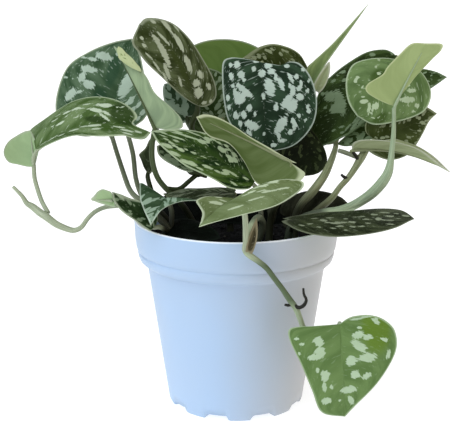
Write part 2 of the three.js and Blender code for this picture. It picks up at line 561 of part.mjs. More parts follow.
        base: [58.4, -4, 134.6], tip: [107.7, -8, 123.5], face: [0.2, 0.15, 1], half: [11.2, 9],
        fold: [40, 40, 40, 40], cup: [15, 15], arch: 0.08,
        left: [[0, 0], [0.04, 0.12], [0.12, 0.24], [0.22, 0.47], [0.35, 0.76], [0.48, 1], [0.63, 0.9],
          [0.77, 0.58], [0.9, 0.22], [1, 0]],
        right: [[0, 0], [0, 0.14], [0, 0.36], [0.03, 0.66], [0.14, 0.9], [0.4, 1], [0.6, 0.78],
          [0.76, 0.4], [0.9, 0.14], [1, 0]],
        stalk: [[58.8, -3, 132.6], [61.3, -2.2, 130]],
        girth: 1.1,
      },
      // rim right
      {
        base: [25.2, -30, 104.1], tip: [86.5, -34, 105.6], face: [0, -0.1, 1], half: [14.8, 24.7],
        fold: [5, 5, 5, 5], cup: [15, 15], arch: 0.02,
        left: [[0, 0], [-0.02, 0.1], [-0.04, 0.16], [0.02, 0.29], [0.14, 0.33], [0.3, 0.5], [0.5, 0.67],
          [0.73, 1], [0.9, 0.87], [1, 0]],
        right: [[0, 0], [-0.03, 0.02], [-0.05, 0.06], [-0.01, 0.32], [0.07, 0.62], [0.21, 0.86], [0.4, 1],
          [0.63, 0.9], [0.84, 0.57], [1, 0]],
        stalk: [[26, -28.5, 102], [27.5, -24.5, 99.5], [27.2, -20.5, 96]],
      },
    ],
  },
};

// ---- geometry helpers ----
const vector = (point) => new THREE.Vector3(point[0], point[1], point[2]);
const radians = (degrees) => (degrees * Math.PI) / 180;

// A closed solid from points and triangles that face out.
function solidFrom(points, triangles) {
  const flat = new Float32Array(points.flatMap((p) => [p.x, p.y, p.z]));
  const mesh = new wasm.Mesh({ numProp: 3, vertProperties: flat,
    triVerts: new Uint32Array(triangles.flat()) });
  return new wasm.Manifold(mesh);
}

// A closed solid from a three.js geometry.
function solidOf(geometry) {
  const bare = geometry.clone();
  bare.deleteAttribute("normal");
  bare.deleteAttribute("uv");
  const merged = mergeVertices(bare, 1e-4);
  const mesh = new wasm.Mesh({
    numProp: 3,
    vertProperties: merged.attributes.position.array,
    triVerts: new Uint32Array(merged.index.array),
  });
  return new wasm.Manifold(mesh);
}

function geometryOf(solid) {
  const mesh = solid.getMesh();
  const geometry = new THREE.BufferGeometry();
  geometry.setAttribute("position", new THREE.BufferAttribute(new Float32Array(mesh.vertProperties), 3));
  geometry.setIndex(new THREE.BufferAttribute(new Uint32Array(mesh.triVerts), 1));
  geometry.computeVertexNormals();
  return geometry;
}

function union(solids) {
  return solids.reduce((whole, solid) => whole.add(solid));
}

// The largest body of a solid: hollows sealed by the fusing are filled and loose scraps dropped.
function wholeBody(solid) {
  return solid.decompose().sort((a, b) => b.volume() - a.volume())[0];
}

// Eased share of the way from base to tip.
const eased = (x) => x * x * (3 - 2 * x);

// The midrib of a leaf and the frame (along, up, across) at any share of its length.
function midrib(leaf) {
  const base = vector(leaf.base);
  const along = vector(leaf.tip).sub(base);
  const length = along.length();
  along.normalize();
  const up = vector(leaf.face);
  up.addScaledVector(along, -up.dot(along)).normalize();
  const across = new THREE.Vector3().crossVectors(along, up);
  const arch = leaf.arch;
  const sweep = leaf.sweep ?? 0;
  const at = (s) => {
    const rise = s < 0 ? 4 * s : 4 * s * (1 - s);
    return base.clone().addScaledVector(along, length * s)
      .addScaledVector(up, length * arch * rise)
      .addScaledVector(across, length * sweep * rise);
  };
  const frame = (s) => {
    const t = at(s + 1e-3).sub(at(s - 1e-3)).normalize();
    const n = up.clone().addScaledVector(t, -up.dot(t)).normalize();
    return { t, n, r: new THREE.Vector3().crossVectors(t, n) };
  };
  return { at, frame };
}

// One blade: a sheet of rows from base to tip, folded at the midrib and cupped, thickened both ways.
function bladeSolid(leaf) {
  const rib = midrib(leaf);
  const last = leaf.left.length - 1;
  const points = [];
  const upper = [];
  const lower = [];
  for (let i = 0; i <= last; i++) {
    const share = i / last;
    const ribShare = share ** BLADE_SHARPNESS;
    const rise = [0, 1].map((side) => {
      const from = leaf.fold[2 * side];
      const to = leaf.fold[2 * side + 1];
      return radians(from + (to - from) * eased(share));
    });
    upper.push([]);
    lower.push([]);
    for (let c = -BLADE_COLUMNS; c <= BLADE_COLUMNS; c++) {
      if ((i === 0 || i === last) && c > -BLADE_COLUMNS) {
        upper[i].push(upper[i][0]);
        lower[i].push(lower[i][0]);
        continue;
      }
      const side = c < 0 ? 0 : 1;
      const sign = c < 0 ? -1 : 1;
      const v = Math.abs(c) / BLADE_COLUMNS;
      const [p, q] = (side === 0 ? leaf.left : leaf.right)[i];
      const s = ribShare + (p - ribShare) * v ** BLADE_SPREAD;
      const bend = radians(leaf.cup[side]) / leaf.half[side] || 1e-6;
      const reach = q * leaf.half[side] * v;
      const angle = rise[side] - bend * reach;
      const x = (Math.sin(rise[side]) - Math.sin(angle)) / bend;
      const z = (Math.cos(angle) - Math.cos(rise[side])) / bend;
      const { n, r } = rib.frame(s);
      const middle = rib.at(s).addScaledVector(r, sign * x).addScaledVector(n, z);
      let normal = n.clone().multiplyScalar(Math.cos(angle)).addScaledVector(r, -sign * Math.sin(angle));
      let above = BLADE_HALF_THICKNESS;
      let below = BLADE_HALF_THICKNESS;
      if (i === 0 || i === last) {
        normal = n.clone();
      } else if (c === 0) {
        const half = Math.cos((rise[0] + rise[1]) / 2);
        const tilt = (rise[0] - rise[1]) / 2;
        normal = n.clone().multiplyScalar(Math.cos(tilt)).addScaledVector(r, Math.sin(tilt));
        above /= Math.max(half, 0.13);
        below *= Math.min(1 / half, 1.6);
      }
      upper[i].push(points.push(middle.clone().addScaledVector(normal, above)) - 1);
      lower[i].push(points.push(middle.clone().addScaledVector(normal, -below)) - 1);
    }
  }
  const triangles = [];
  const put = (a, b, c) => {
    if (a !== b && b !== c && c !== a) triangles.push([a, b, c]);
  };
  for (let i = 0; i < last; i++) {
    for (let c = 0; c < 2 * BLADE_COLUMNS; c++) {
      const turn = c < BLADE_COLUMNS;
      for (const [sheet, isUpper] of [[upper, true], [lower, false]]) {
        const [a, b, d, e] = [sheet[i][c], sheet[i + 1][c], sheet[i + 1][c + 1], sheet[i][c + 1]];
        const faces = turn ? [[a, d, b], [a, e, d]] : [[a, e, b], [e, d, b]];
        faces.forEach((f) => (isUpper ? put(...f) : put(f[0], f[2], f[1])));
      }
    }
    const edge = 2 * BLADE_COLUMNS;
    put(upper[i][edge], lower[i + 1][edge], upper[i + 1][edge]);
    put(upper[i][edge], lower[i][edge], lower[i + 1][edge]);
    put(upper[i][0], upper[i + 1][0], lower[i + 1][0]);
    put(upper[i][0], lower[i + 1][0], lower[i][0]);
  }
  return solidFrom(points, triangles);
}

// A round stalk through the points of a path, its radius given at each point, closed at both ends.
function stalkSolid(path, radius) {
  const curve = new THREE.CatmullRomCurve3(path.map(vector), false, "catmullrom", 0.5);
  const rings = Math.max(path.length, Math.ceil(curve.getLength() / STALK_STEP));
  const points = [];
  const triangles = [];
  const tangent = curve.getTangent(0);
  const side = new THREE.Vector3(0.31, 0.85, 0.42);
  side.addScaledVector(tangent, -side.dot(tangent)).normalize();
  for (let i = 0; i <= rings; i++) {
    const t = i / rings;
    const along = curve.getTangent(t);
    side.addScaledVector(along, -side.dot(along)).normalize();
    const other = new THREE.Vector3().crossVectors(along, side);
    const place = t * (radius.length - 1);
    const low = Math.min(Math.floor(place), radius.length - 2);
    const r = radius[low] + (radius[low + 1] - radius[low]) * (place - low);
    for (let k = 0; k < STALK_SIDES; k++) {
      const angle = (2 * Math.PI * k) / STALK_SIDES;
      points.push(curve.getPoint(t).addScaledVector(side, r * Math.cos(angle))
        .addScaledVector(other, r * Math.sin(angle)));
      if (i < rings) {
        const a = i * STALK_SIDES + k;
        const b = i * STALK_SIDES + ((k + 1) % STALK_SIDES);
        triangles.push([a, b, b + STALK_SIDES], [a, b + STALK_SIDES, a + STALK_SIDES]);
      }
    }
  }
  const end = rings * STALK_SIDES;
  for (let k = 1; k < STALK_SIDES - 1; k++) {
    triangles.push([0, k + 1, k], [end, end + k, end + k + 1]);
  }
  return solidFrom(points, triangles);
}

// A leaf with its petiole, which runs on a little way under the blade.
function leafSolid(leaf) {
  const blade = bladeSolid(leaf);
  if (!leaf.stalk) return blade;
  const rib = midrib(leaf);
  const under = rib.at(0.1).addScaledVector(rib.frame(0.1).n, -0.45);
  const seat = rib.at(0.005).addScaledVector(rib.frame(0).n, -0.4);
  const path = [under.toArray(), seat.toArray(), ...leaf.stalk];
  const girth = leaf.girth ?? PETIOLE;
  const radius = path.map((_, i) => (i === 0 ? 0.5 * girth : i === 1 ? 0.8 * girth : girth));
  return blade.add(stalkSolid(path, radius));
}

function leafyStem(plan) {
  const stems = plan.stems.map((stem) => stalkSolid(stem.path, stem.radius));
  const leaves = plan.leaves.map(leafSolid);
  return wholeBody(union([...stems, ...leaves]));
}

// ---- pot ----
function potSolid() {
  const profile = [...POT_OUTSIDE, ...POT_INSIDE].map(([r, z]) => new THREE.Vector2(r, z));
  const wall = solidOf(new THREE.LatheGeometry(profile, POT_SIDES).rotateX(Math.PI / 2));
  const pitch = 360 / FOOT.lobes;
  const cuts = [];
  for (let i = 0; i < FOOT.lobes; i++) {
    const middle = radians(FOOT.firstLobe + pitch * (i + 0.5));
    const width = 2 * 36 * Math.sin(radians((pitch * FOOT.notchShare) / 2));
    const notch = new THREE.BoxGeometry(20, width, 2 * FOOT.notchHeight);
    notch.translate(FOOT.notchFrom + 10, 0, 0);
    notch.rotateZ(middle);
    const drain = new THREE.CylinderGeometry(DRAIN.radius, DRAIN.radius, 16, 10);
    drain.rotateX(Math.PI / 2);
    drain.translate(DRAIN.at * Math.cos(middle), DRAIN.at * Math.sin(middle), 1);
    cuts.push(solidOf(notch), solidOf(drain));
  }
  return wall.subtract(union(cuts));
}

// ---- soil ----
// A repeatable draw between -1 and 1 for the crumbs on the surface.
function draw(i, k) {
  const s = Math.sin(i * 127.1 + k * 311.7) * 43758.5453;
  return 2 * (s - Math.floor(s)) - 1;
}

function soilSolid() {
  const floor = POT_INSIDE[POT_INSIDE.length - 1][1];
  const side = POT_INSIDE.slice(1, -1).map(([r, z]) => [r - 1.3 * CLEARANCE, z]);
  const share = (SOIL.edge - side[1][1]) / (side[0][1] - side[1][1]);
  side[0] = [side[1][0] + share * (side[0][0] - side[1][0]), SOIL.edge];
  side[side.length - 1][1] = floor + CLEARANCE;
  const rows = [...SOIL.rings.map((r) => [r, null]), ...side];
  const points = [new THREE.Vector3(0, 0, SOIL.top)];
  const triangles = [];
  rows.forEach(([r, z], i) => {
    for (let k = 0; k < SOIL.sides; k++) {
      const angle = (2 * Math.PI * k) / SOIL.sides;
      const top = SOIL.top - SOIL.dish * (r / 50) ** 2 + SOIL.grain * draw(i, k);
      points.push(new THREE.Vector3(r * Math.cos(angle), r * Math.sin(angle), z ?? top));
    }
  });
  points.push(new THREE.Vector3(0, 0, floor + CLEARANCE));
  const bottom = points.length - 1;
  for (let k = 0; k < SOIL.sides; k++) {
    const next = (k + 1) % SOIL.sides;
    triangles.push([0, 1 + k, 1 + next]);
    for (let i = 0; i < rows.length - 1; i++) {
      const a = 1 + i * SOIL.sides;
      const b = a + SOIL.sides;
      triangles.push([a + k, b + k, b + next], [a + k, b + next, a + next]);
    }
    const low = 1 + (rows.length - 1) * SOIL.sides;
    triangles.push([low + k, bottom, low + next]);
  }
  const holes = Object.values(STEMS).flatMap((plan) => plan.holes.map(([x, y]) => {
    const wide = (plan.stems[0].radius[0] + 2 * CLEARANCE) / Math.cos(Math.PI / 12);
    const hole = new THREE.CylinderGeometry(wide, wide, 14, 12);
    hole.rotateX(Math.PI / 2);
    hole.translate(x, y, 80 - CLEARANCE + 7);
    return solidOf(hole);
  }));
  return solidFrom(points, triangles).subtract(union(holes));
}

// ---- assembly ----
const plant = new THREE.Group();

function place(name, solid) {
  const mesh = new THREE.Mesh(geometryOf(solid), new THREE.MeshStandardMaterial(FINISHES[name]));
  mesh.name = name;
  plant.add(mesh);
}

place("pot", potSolid());
place("soil", soilSolid());
for (const [name, plan] of Object.entries(STEMS)) place(name, leafyStem(plan));

export default plant;
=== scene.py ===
import logging
import math
from dataclasses import dataclass, field
from enum import Enum

import bpy
import numpy as np
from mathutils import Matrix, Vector, noise


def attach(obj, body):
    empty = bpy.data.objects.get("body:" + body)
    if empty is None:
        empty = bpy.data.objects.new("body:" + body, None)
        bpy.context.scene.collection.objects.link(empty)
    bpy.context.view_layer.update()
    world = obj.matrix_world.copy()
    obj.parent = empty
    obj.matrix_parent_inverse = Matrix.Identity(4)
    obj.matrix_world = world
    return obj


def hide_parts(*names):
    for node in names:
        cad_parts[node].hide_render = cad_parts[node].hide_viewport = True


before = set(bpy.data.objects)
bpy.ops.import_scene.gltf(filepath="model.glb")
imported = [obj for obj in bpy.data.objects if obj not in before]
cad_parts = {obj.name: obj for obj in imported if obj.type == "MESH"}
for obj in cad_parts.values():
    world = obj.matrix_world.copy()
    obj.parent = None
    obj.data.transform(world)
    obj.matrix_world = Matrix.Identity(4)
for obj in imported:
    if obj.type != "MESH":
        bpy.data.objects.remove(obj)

MM = 0.001
LOG = logging.getLogger("satin_pothos")
Point = tuple[float, float, float]
Outline = list[tuple[float, float]]

USUAL_GIRTH = 1.25  # radius of a petiole

# Seeds: one for the first stem, a step for each further stem and leaf, one for the crumbs.
STEM_SEED, STEM_SEED_STEP, LEAF_SEED_STEP, CRUMB_SEED = 101, 17, 13, 11

# Settings that many shader nodes share.
SMOOTH = {"interpolation_type": "SMOOTHSTEP"}
BLEND = {"output": 2, "data_type": "RGBA"}


# -------------------------------------------------------------------------------------------------------
# small helpers
# -------------------------------------------------------------------------------------------------------
def linear(code: str) -> tuple[float, float, float, float]:
    """Turn an sRGB hex colour into linear light.

    Args:
        code: The colour as "#rrggbb".

    Returns:
        Linear red, green, blue and an alpha of one.
    """
    parts = [int(code[i:i + 2], 16) / 255 for i in (1, 3, 5)]
    light = [p / 12.92 if p <= 0.04045 else ((p + 0.055) / 1.055) ** 2.4 for p in parts]
    return (light[0], light[1], light[2], 1.0)


def add(tree: bpy.types.NodeTree, kind: str, inputs: dict | None = None, output: int | str = 0,
        **settings: object) -> bpy.types.NodeSocket | None:
    """Add a shader node with its settings, values and links.

    Args:
        tree: The node tree that takes the node.
        kind: The node's type name, without its "ShaderNode".
        inputs: Socket name or number to a value, or to another node's output to link from.
        output: Name or number of the output to return.
        **settings: Properties of the node itself.

    Returns:
        That output, or nothing for a node without outputs.
    """
    node = tree.nodes.new("ShaderNode" + kind)
    for name, value in settings.items():
        setattr(node, name, value)
    for key, value in (inputs or {}).items():
        if isinstance(value, bpy.types.NodeSocket):
            tree.links.new(value, node.inputs[key])
        else:
            node.inputs[key].default_value = value
    return node.outputs[output] if len(node.outputs) else None


def spline(points: np.ndarray, count: int) -> np.ndarray:
    """Sample a uniform Catmull-Rom curve that passes through every point.

    Args:
        points: Control points, one a row.
        count: How many samples to take, the two ends included.

    Returns:
        The samples, one a row.
    """
    points = np.asarray(points, float)
    padded = np.vstack([2 * points[0] - points[1], points, 2 * points[-1] - points[-2]])
    spans = len(points) - 1
    place = np.linspace(0, spans, count)
    start = np.minimum(place.astype(int), spans - 1)
    u = (place - start)[:, None]
    a, b, c, d = (padded[start + k] for k in range(4))
    bent = (2 * a - 5 * b + 4 * c - d) * u ** 2 + (3 * b - a - 3 * c + d) * u ** 3
    return 0.5 * (2 * b + (c - a) * u + bent)


def unit(vectors: np.ndarray) -> np.ndarray:
    """Scale each row to length one."""
    return vectors / np.linalg.norm(vectors, axis=-1, keepdims=True)


def mesh_piece(name: str, points: np.ndarray, faces: list[tuple[int, ...]],
               slots: list[int] | None = None,
               values: dict[str, np.ndarray] | None = None) -> bpy.types.Object:
    """Make a smooth-shaded object from points in millimetres.

    Args:
        name: The object's name.
        points: Vertex positions in millimetres, one a row.
        faces: Vertex numbers of each face, seen from outside anticlockwise.
        slots: Material slot of each face, all the first when left out.
        values: Named numbers or triples, one for each vertex, that the materials read.

    Returns:
        The object, linked to the scene.
    """
    mesh = bpy.data.meshes.new(name)
    mesh.from_pydata([tuple(p) for p in np.asarray(points) * MM], [], faces)
    mesh.shade_smooth()
    if slots is not None:
        mesh.polygons.foreach_set("material_index", slots)
    for key, numbers in (values or {}).items():
        numbers = np.asarray(numbers, dtype=np.float32)
        kind, word = ("FLOAT", "value") if numbers.ndim == 1 else ("FLOAT_VECTOR", "vector")
        layer = mesh.attributes.new(key, kind, "POINT")
        layer.data.foreach_set(word, numbers.ravel())
    mesh.update()
    piece = bpy.data.objects.new(name, mesh)
    bpy.context.scene.collection.objects.link(piece)
    return piece


def fresh_material(name: str) -> tuple[bpy.types.Material, bpy.types.NodeTree]:
    """Make an empty node material and return it with its tree."""
    material = bpy.data.materials.new(name)
    material.use_nodes = True
    material.node_tree.nodes.clear()
    return material, material.node_tree


# -------------------------------------------------------------------------------------------------------
# finishes
# -------------------------------------------------------------------------------------------------------
@dataclass(frozen=True)
class SatinLeafSkin:
    """Living leaf of a satin pothos: waxy dark green skin with raised silver splashes, grown, not made."""

    name: str
    deep: str
    green: str
    silver: str
    margin: str = "#a3b096"
    under: str = "#8ea07b"
    under_deep: str = "#6f8259"
    roughness: float = 0.45
    grain: float = 0.95
    flecks: float = 0.5
    shade: float = 0.5
    # Colour of the painted shade patches; on the hanging leaf an olive tint of its own.
    shade_and_tint: str = "#142406"

    def upper(self) -> bpy.types.Material:
        """Dress the upper side: silver splashes along the veins, mottled green, a pale rim, a satin gloss.

        Returns:
            The material of the upper side.
        """
        material, tree = fresh_material("satin_leaf_" + self.name)
        veins = add(tree, "Attribute", output="Vector", attribute_name="veins")
        silver = add(tree, "Attribute", output="Fac", attribute_name="silver")
        edge = add(tree, "Attribute", output="Fac", attribute_name="edge")
        rib = add(tree, "Attribute", output="Fac", attribute_name="rib")
        # Mottling of the green about 9 mm by 14 mm, so that no leaf is one flat colour.
        wide = add(tree, "Mapping", {"Vector": veins, "Scale": (0.11, 0.07, 1.0)})
        mottle = add(tree, "TexNoise", {"Vector": wide, "Scale": 1.0, "Detail": 3.0})
        share = add(tree, "MapRange", {"Value": mottle, "From Min": 0.35, "From Max": 0.65}, **SMOOTH)
        colour = add(tree, "Mix", {0: share, 6: linear(self.deep), 7: linear(self.green)}, **BLEND)
        # The blade is deeper green for about 5 mm beside the midrib.
        beside = add(tree, "Math", {0: rib}, operation="ABSOLUTE")
        groove = add(tree, "MapRange", {"Value": beside, "From Min": 6.0, "From Max": 0.5,
                                        "To Max": self.shade}, **SMOOTH)
        colour = add(tree, "Mix", {0: groove, 6: colour, 7: linear(self.deep)}, **BLEND)
        # Painted shade: listed patches in shadow are darker green; on the hanging leaf they are an olive
        # tint.
        shade_and_tint_share = add(tree, "Attribute", output="Fac", attribute_name="shade_and_tint_share")
        shade_and_tint = add(tree, "MapRange", {"Value": shade_and_tint_share, "From Max": 0.45, "To Max": 0.8}, **SMOOTH)
        colour = add(tree, "Mix", {0: shade_and_tint, 6: colour, 7: linear(self.shade_and_tint)}, **BLEND)
        # Splash margins are torn along the side veins, in shreds about 1 mm by 6 mm.
        fine = add(tree, "Mapping", {"Vector": veins, "Scale": (0.85, 0.17, 1.0)})
        shreds = add(tree, "TexNoise", {"Vector": fine, "Scale": 1.0, "Detail": 4.0, "Roughness": 0.65})
        torn = add(tree, "Math", {0: shreds, 1: 2 * self.grain, 2: -self.grain}, operation="MULTIPLY_ADD")
        depth = add(tree, "Math", {0: silver, 1: torn}, operation="ADD")
        splash = add(tree, "MapRange", {"Value": depth, "From Min": -0.1, "From Max": 0.06}, **SMOOTH)
        # Small flecks, about 1 mm by 2 mm, stand between the splashes.
        small = add(tree, "Mapping", {"Vector": veins, "Scale": (0.8, 0.42, 1.0)})
        specks = add(tree, "TexNoise", {"Vector": small, "Scale": 1.0, "Detail": 1.0})
        fleck = add(tree, "MapRange", {"Value": specks, "From Min": 0.64, "From Max": 0.7,
                                       "To Max": self.flecks}, **SMOOTH)
        splash = add(tree, "Math", {0: splash, 1: fleck}, operation="MAXIMUM")
        # The silver is a thin air layer under the skin: uneven, greener where it thins out.
        haze = add(tree, "MapRange", {"Value": mottle, "From Min": 0.3, "From Max": 0.7, "To Min": 1.0,
                                      "To Max": 0.84})
        splash = add(tree, "Math", {0: splash, 1: haze}, operation="MULTIPLY")
        colour = add(tree, "Mix", {0: splash, 6: colour, 7: linear(self.silver)}, **BLEND)
        # The blade's translucent rim shows as a pale line about 0.6 mm wide.
        rim = add(tree, "MapRange", {"Value": edge, "From Min": 1.0, "From Max": 0.3, "To Max": 0.9},
                  **SMOOTH)
        colour = add(tree, "Mix", {0: rim, 6: colour, 7: linear(self.margin)}, **BLEND)
        # Side veins stand about 3 mm apart and quilt the blade very lightly; the skin is pebbled.
        ridge = add(tree, "Mapping", {"Vector": veins, "Scale": (0.33, 0.02, 1.0)})
        quilt = add(tree, "TexNoise", {"Vector": ridge, "Scale": 1.0, "Detail": 1.0})
        pebble = add(tree, "TexNoise", {"Vector": veins, "Scale": 1.6})
        height = add(tree, "Math", {0: quilt, 1: 1.6, 2: pebble}, operation="MULTIPLY_ADD")
        height = add(tree, "Math", {0: splash, 1: 0.3, 2: height}, operation="MULTIPLY_ADD")
        bump = add(tree, "Bump", {"Height": height, "Strength": 0.4, "Distance": 0.0004})
        gloss = add(tree, "BsdfPrincipled", {
            "Base Color": colour, "Roughness": self.roughness, "Specular IOR Level": 0.08,
            "Normal": bump})
        add(tree, "OutputMaterial", {0: gloss})
        return material

    def underside(self) -> bpy.types.Material:
        """Dress the underside: matt pale green with fine side veins and a pale rim line.

        Returns:
            The material of the underside and of the blade's thin edge.
        """
        material, tree = fresh_material("leaf_underside_" + self.name)
        veins = add(tree, "Attribute", output="Vector", attribute_name="veins")
        edge = add(tree, "Attribute", output="Fac", attribute_name="edge")
        # Clouds of deeper green about 8 mm by 16 mm.
        wide = add(tree, "Mapping", {"Vector": veins, "Scale": (0.13, 0.06, 1.0)})
        cloud = add(tree, "TexNoise", {"Vector": wide, "Scale": 1.0, "Detail": 3.0})
        share = add(tree, "MapRange", {"Value": cloud, "From Min": 0.3, "From Max": 0.7}, **SMOOTH)
        colour = add(tree, "Mix", {0: share, 6: linear(self.under_deep), 7: linear(self.under)}, **BLEND)
        # Side veins show through as soft lines about 2.5 mm apart.
        lines = add(tree, "Mapping", {"Vector": veins, "Scale": (0.4, 0.02, 1.0)})
        vein = add(tree, "TexNoise", {"Vector": lines, "Scale": 1.0, "Detail": 1.0})
        mark = add(tree, "MapRange", {"Value": vein, "From Min": 0.55, "From Max": 0.68, "To Max": 0.3},
                   **SMOOTH)
        colour = add(tree, "Mix", {0: mark, 6: colour, 7: linear(self.under_deep)}, **BLEND)
        rim = add(tree, "MapRange", {"Value": edge, "From Min": 0.9, "From Max": 0.3, "To Max": 0.85},
                  **SMOOTH)
        colour = add(tree, "Mix", {0: rim, 6: colour, 7: linear(self.margin)}, **BLEND)
        bump = add(tree, "Bump", {"Height": vein, "Strength": 0.25, "Distance": 0.0003})
        matt = add(tree, "BsdfPrincipled", {
            "Base Color": colour, "Roughness": 0.6, "Specular IOR Level": 0.08, "Normal": bump})
        add(tree, "OutputMaterial", {0: matt})
        return material


@dataclass(frozen=True)
class StalkSkin:
    """Living petiole, stem or root: smooth skin with faint lengthwise lines."""

    name: str
    pale: str
    deep: str
    # Near-black colour of painted shade inside the pot, with some damp staining.
    pot_shade_and_stain: str = "#14160e"
    band_green: str = ""

    def material(self) -> bpy.types.Material:
        """Dress a stalk: soft lengthwise streaks, a satin gloss, painted shade with some staining inside the
        pot.

        Returns:
            The stalk's material.
        """
        material, tree = fresh_material("stalk_" + self.name)
        run = add(tree, "Attribute", output="Vector", attribute_name="run")
        # Fibres run along the stalk: 0.4 mm wide, about 9 mm long.
        stretched = add(tree, "Mapping", {"Vector": run, "Scale": (5.0, 0.11, 1.0)})
        fibre = add(tree, "TexNoise", {"Vector": stretched, "Scale": 1.0, "Detail": 3.0})
        share = add(tree, "MapRange", {"Value": fibre, "From Min": 0.3, "From Max": 0.7}, **SMOOTH)
        colour = add(tree, "Mix", {0: share, 6: linear(self.deep), 7: linear(self.pale)}, **BLEND)
        # Down in the pot a stalk is darkened to near black: painted shade of the pot's inside, with some
        # damp staining.
        place = add(tree, "NewGeometry", output="Position")
        level = add(tree, "SeparateXYZ", {0: place}, output="Z")
        flat = add(tree, "VectorMath", {0: place, 1: (1.0, 1.0, 0.0)}, operation="MULTIPLY")
        out = add(tree, "VectorMath", {0: flat}, output="Value", operation="LENGTH")
        within = add(tree, "MapRange", {"Value": out, "From Min": 0.051, "From Max": 0.047})
        sunk = add(tree, "MapRange", {"Value": level, "From Min": 0.118, "From Max": 0.103, "To Max": 0.88},
                   **SMOOTH)
        shade_and_stain = add(tree, "Math", {0: within, 1: sunk}, operation="MULTIPLY")
        colour = add(tree, "Mix", {0: shade_and_stain, 6: colour, 7: linear(self.pot_shade_and_stain)}, **BLEND)
        if self.band_green:
            # A trailing stem is dark green from 66 to 94 mm above the floor.
            below = add(tree, "MapRange", {"Value": level, "From Min": 0.094, "From Max": 0.088,
                                           "To Max": 0.75}, **SMOOTH)
            above = add(tree, "MapRange", {"Value": level, "From Min": 0.066, "From Max": 0.072})
            dark_band = add(tree, "Math", {0: below, 1: above}, operation="MULTIPLY")
            colour = add(tree, "Mix", {0: dark_band, 6: colour, 7: linear(self.band_green)}, **BLEND)
        bump = add(tree, "Bump", {"Height": fibre, "Strength": 0.3, "Distance": 0.0003})
        skin = add(tree, "BsdfPrincipled", {
            "Base Color": colour, "Roughness": 0.45, "Specular IOR Level": 0.2, "Normal": bump})
        add(tree, "OutputMaterial", {0: skin})
        return material


@dataclass(frozen=True)
class PotPolypropylene:
    """Injection-moulded white polypropylene, thin enough to let a little light through."""

    cool: str = "#a6c1e0"
    # Grey of the painted shade on the pot's right side, also the far end of its faint clouds.
    cloud_and_shade_grey: str = "#b7b9bc"
    # Colour of the painted highlight along the top of the rim.
    rim_highlight: str = "#eef4fc"

    def material(self) -> bpy.types.Material:
        """Dress the pot: a pale blue-white, painted shade on its right side, a painted highlight on the rim,
        faint moulding waves, a broad soft gloss.

        Returns:
            The pot's material.
        """
        material, tree = fresh_material("moulded_polypropylene")
        place = add(tree, "NewGeometry", output="Position")
        # The plastic's thickness varies over about 40 mm, which shows as faint clouds.
        cloud = add(tree, "TexNoise", {"Vector": place, "Scale": 26.0, "Detail": 2.0})
        # Painted shade: the plastic is painted greyer on its right side, away from the light: a slow change
        # over 60 mm.
        aside = add(tree, "SeparateXYZ", {0: place}, output="X")
        painted_side_shade = add(tree, "MapRange", {"Value": aside, "From Min": -0.015, "From Max": 0.045,
                                       "To Max": 0.85}, **SMOOTH)
        share = add(tree, "Math", {0: cloud, 1: 0.25, 2: painted_side_shade}, operation="MULTIPLY_ADD")
        colour = add(tree, "Mix", {0: share, 6: linear(self.cool), 7: linear(self.cloud_and_shade_grey)}, **BLEND)
        # Painted highlight: the top of the rim is painted as a bright line.
        level = add(tree, "SeparateXYZ", {0: place}, output="Z")
        rim_highlight = add(tree, "MapRange", {"Value": level, "From Min": 0.0977, "From Max": 0.0983})
        colour = add(tree, "Mix", {0: rim_highlight, 6: colour, 7: linear(self.rim_highlight)}, **BLEND)
        # Moulding leaves a very fine orange peel, drawn at 1 mm so that it shows.
        peel = add(tree, "TexNoise", {"Vector": place, "Scale": 900.0, "Detail": 1.0})
        bump = add(tree, "Bump", {"Height": peel, "Strength": 0.06, "Distance": 0.0002})
        plastic = add(tree, "BsdfPrincipled", {
            "Base Color": colour, "Roughness": 0.4, "IOR": 1.49, "Specular IOR Level": 0.35,
            "Subsurface Weight": 0.12, "Subsurface Radius": (0.004, 0.004, 0.005), "Normal": bump})
        add(tree, "OutputMaterial", {0: plastic})
        return material


@dataclass(frozen=True)
class PeatMix:
    """Damp peat and composted bark, dug and crumbled."""

    dark: str = "#050607"
    brown: str = "#17181a"
    fleck: str = "#4b4a44"

    def material(self) -> bpy.types.Material:
        """Dress the potting mix: near black, with grey crumbs and rare pale bits.

        Returns:
            The material of the mix and its crumbs.
        """
        material, tree = fresh_material("peat_and_bark")
        place = add(tree, "NewGeometry", output="Position")
        tint = add(tree, "Attribute", output="Fac", attribute_name="tint")
        # Crumbs of peat are about 2 mm across.
        crumbs = add(tree, "TexVoronoi", {"Vector": place, "Scale": 480.0}, output="Color")
        share = add(tree, "MapRange", {"Value": crumbs, "From Min": 0.45, "From Max": 0.95}, **SMOOTH)
        colour = add(tree, "Mix", {0: share, 6: linear(self.dark), 7: linear(self.brown)}, **BLEND)
        colour = add(tree, "Mix", {0: tint, 6: colour, 7: linear(self.fleck)}, **BLEND)
        fine = add(tree, "TexNoise", {"Vector": place, "Scale": 1400.0, "Detail": 4.0})
        bump = add(tree, "Bump", {"Height": fine, "Strength": 0.8, "Distance": 0.0008})
        earth = add(tree, "BsdfPrincipled", {
            "Base Color": colour, "Roughness": 0.9, "Specular IOR Level": 0.15, "Normal": bump})
        add(tree, "OutputMaterial", {0: earth})
        return material


@dataclass(frozen=True)
class MattPaper:
    """Matt background paper, rolled out flat and lit through from below like a light table."""

    white: str = "#c4c4c4"
    glow: float = 0.72

    def material(self) -> bpy.types.Material:
        """Dress the floor: plain matt paper that glows, so that it is an even white to its corners.

        Returns:
            The floor's material.
        """
        material, tree = fresh_material("background_paper")
        paper = add(tree, "BsdfPrincipled", {
            "Base Color": linear(self.white), "Roughness": 0.95, "Specular IOR Level": 0.0,
            "Emission Color": linear("#ffffff"), "Emission Strength": self.glow})
        add(tree, "OutputMaterial", {0: paper})
        return material
